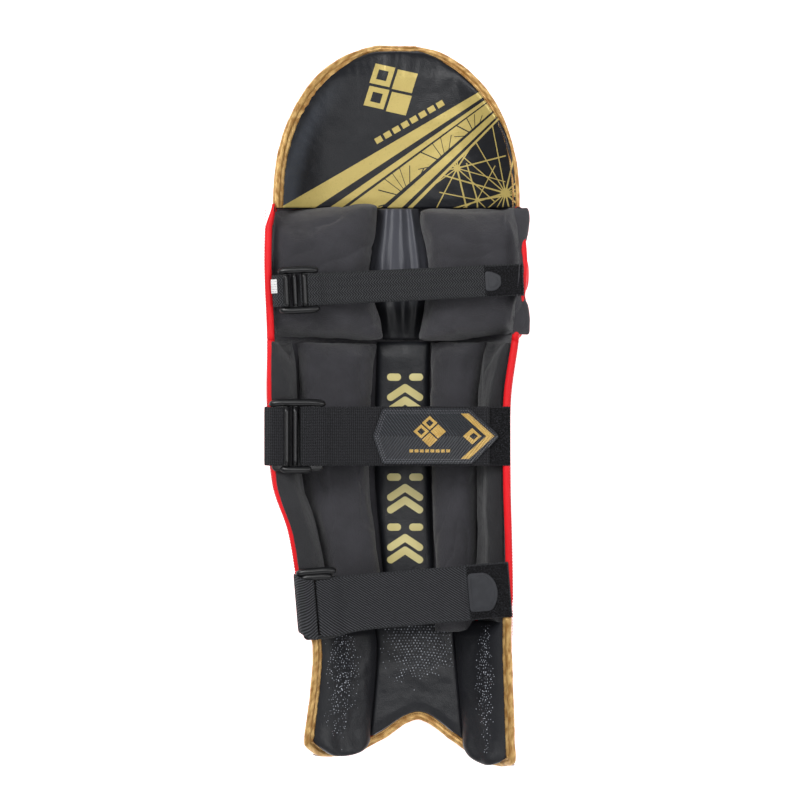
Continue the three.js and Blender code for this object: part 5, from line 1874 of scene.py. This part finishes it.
# Where the dots are thick on each panel: the middle and the half-width of the patch across it and
# up it, as shares.
DOT_PATCHES = [
    dict(across=0.36, half_across=0.3, up=0.62, half_up=0.62, most=0.85, loose=0.32),
    dict(across=0.56, half_across=0.46, up=0.82, half_up=0.46, most=1.25, loose=0.06),
    dict(across=0.66, half_across=0.17, up=0.6, half_up=0.56, most=0.95, loose=0.3),
]
places, ups, sizes = [], [], []
chance = np.random.default_rng(7)
for sheet, thick in zip(foot_tops, DOT_PATCHES):
    loose = thick["loose"] * DOT_PITCH
    y = sheet[..., 1]
    normal = unit(np.cross(np.gradient(sheet, axis=1), np.gradient(sheet, axis=0)))
    steps = np.linalg.norm(np.diff(sheet, axis=1), axis=2)
    walked_u = np.concatenate([np.zeros((len(sheet), 1)), np.cumsum(steps, axis=1)], 1)
    walked_v = y[:, len(y[0]) // 2]
    rows = np.arange(walked_v[0] + 5, walked_v[-1] - 4, DOT_PITCH * 0.866)
    for n, height in enumerate(rows):
        j = np.interp(height, walked_v, np.arange(len(walked_v)))
        a, b = int(j), min(int(j) + 1, len(sheet) - 1)
        line, ns = mix(sheet[a], sheet[b], j - a), mix(normal[a], normal[b], j - a)
        reach = mix(walked_u[a], walked_u[b], j - a)
        for spot in np.arange(DOT_MARGIN + (n % 2) * DOT_PITCH / 2, reach[-1] - DOT_MARGIN, DOT_PITCH):
            shift, rise = chance.uniform(-loose, loose, 2)
            spot += shift
            across = (spot / reach[-1] - thick["across"]) / thick["half_across"]
            up = (n / len(rows) - thick["up"]) / thick["half_up"]
            place = np.array([np.interp(spot, reach, line[:, k]) for k in range(3)])
            patchy = noise.noise(Vector(place / 9)) * 0.6 + noise.noise(Vector(place / 2.1)) * 0.9
            size = thick["most"] - across**2 - up**2 + patchy
            if size < LEAST_DOT:
                continue
            place[1] += rise
            places.append(place)
            ups.append([np.interp(spot, reach, ns[:, k]) for k in range(3)])
            sizes.append(min(1.1, 0.45 + 0.6 * size))
dot_mesh = bpy.data.meshes.new("grip_dots")
dot_mesh.from_pydata(to_row(places).tolist(), [], [])
dot_mesh.attributes.new("up", "FLOAT_VECTOR", "POINT").data.foreach_set("vector", np.ravel(ups))
dot_mesh.attributes.new("graded", "FLOAT", "POINT").data.foreach_set("value", sizes)
dots = bpy.data.objects.new("grip_dots", dot_mesh)
bpy.context.scene.collection.objects.link(dots)
grown(dots, DOTS, Width=0.0015, Height=0.0009, Resin=resin.material)
dots.data.shade_smooth()
made(dots, resin, "rubber")
print("dots:", len(places))

# %% [markdown]
# ## Close the scene
#
# The box of the finished pad is set beside the CAD model's box, and how far it reaches past it on each side
# is printed.

# %% Compare the boxes and finish
low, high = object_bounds()
boxes = {"cad": [list(cad_low), list(cad_high)], "visual": [list(low), list(high)]}
print("grown by, mm:", [round((a - b) * 1000, 1) for a, b in zip(cad_low, low)],
      [round((b - a) * 1000, 1) for a, b in zip(cad_high, high)])
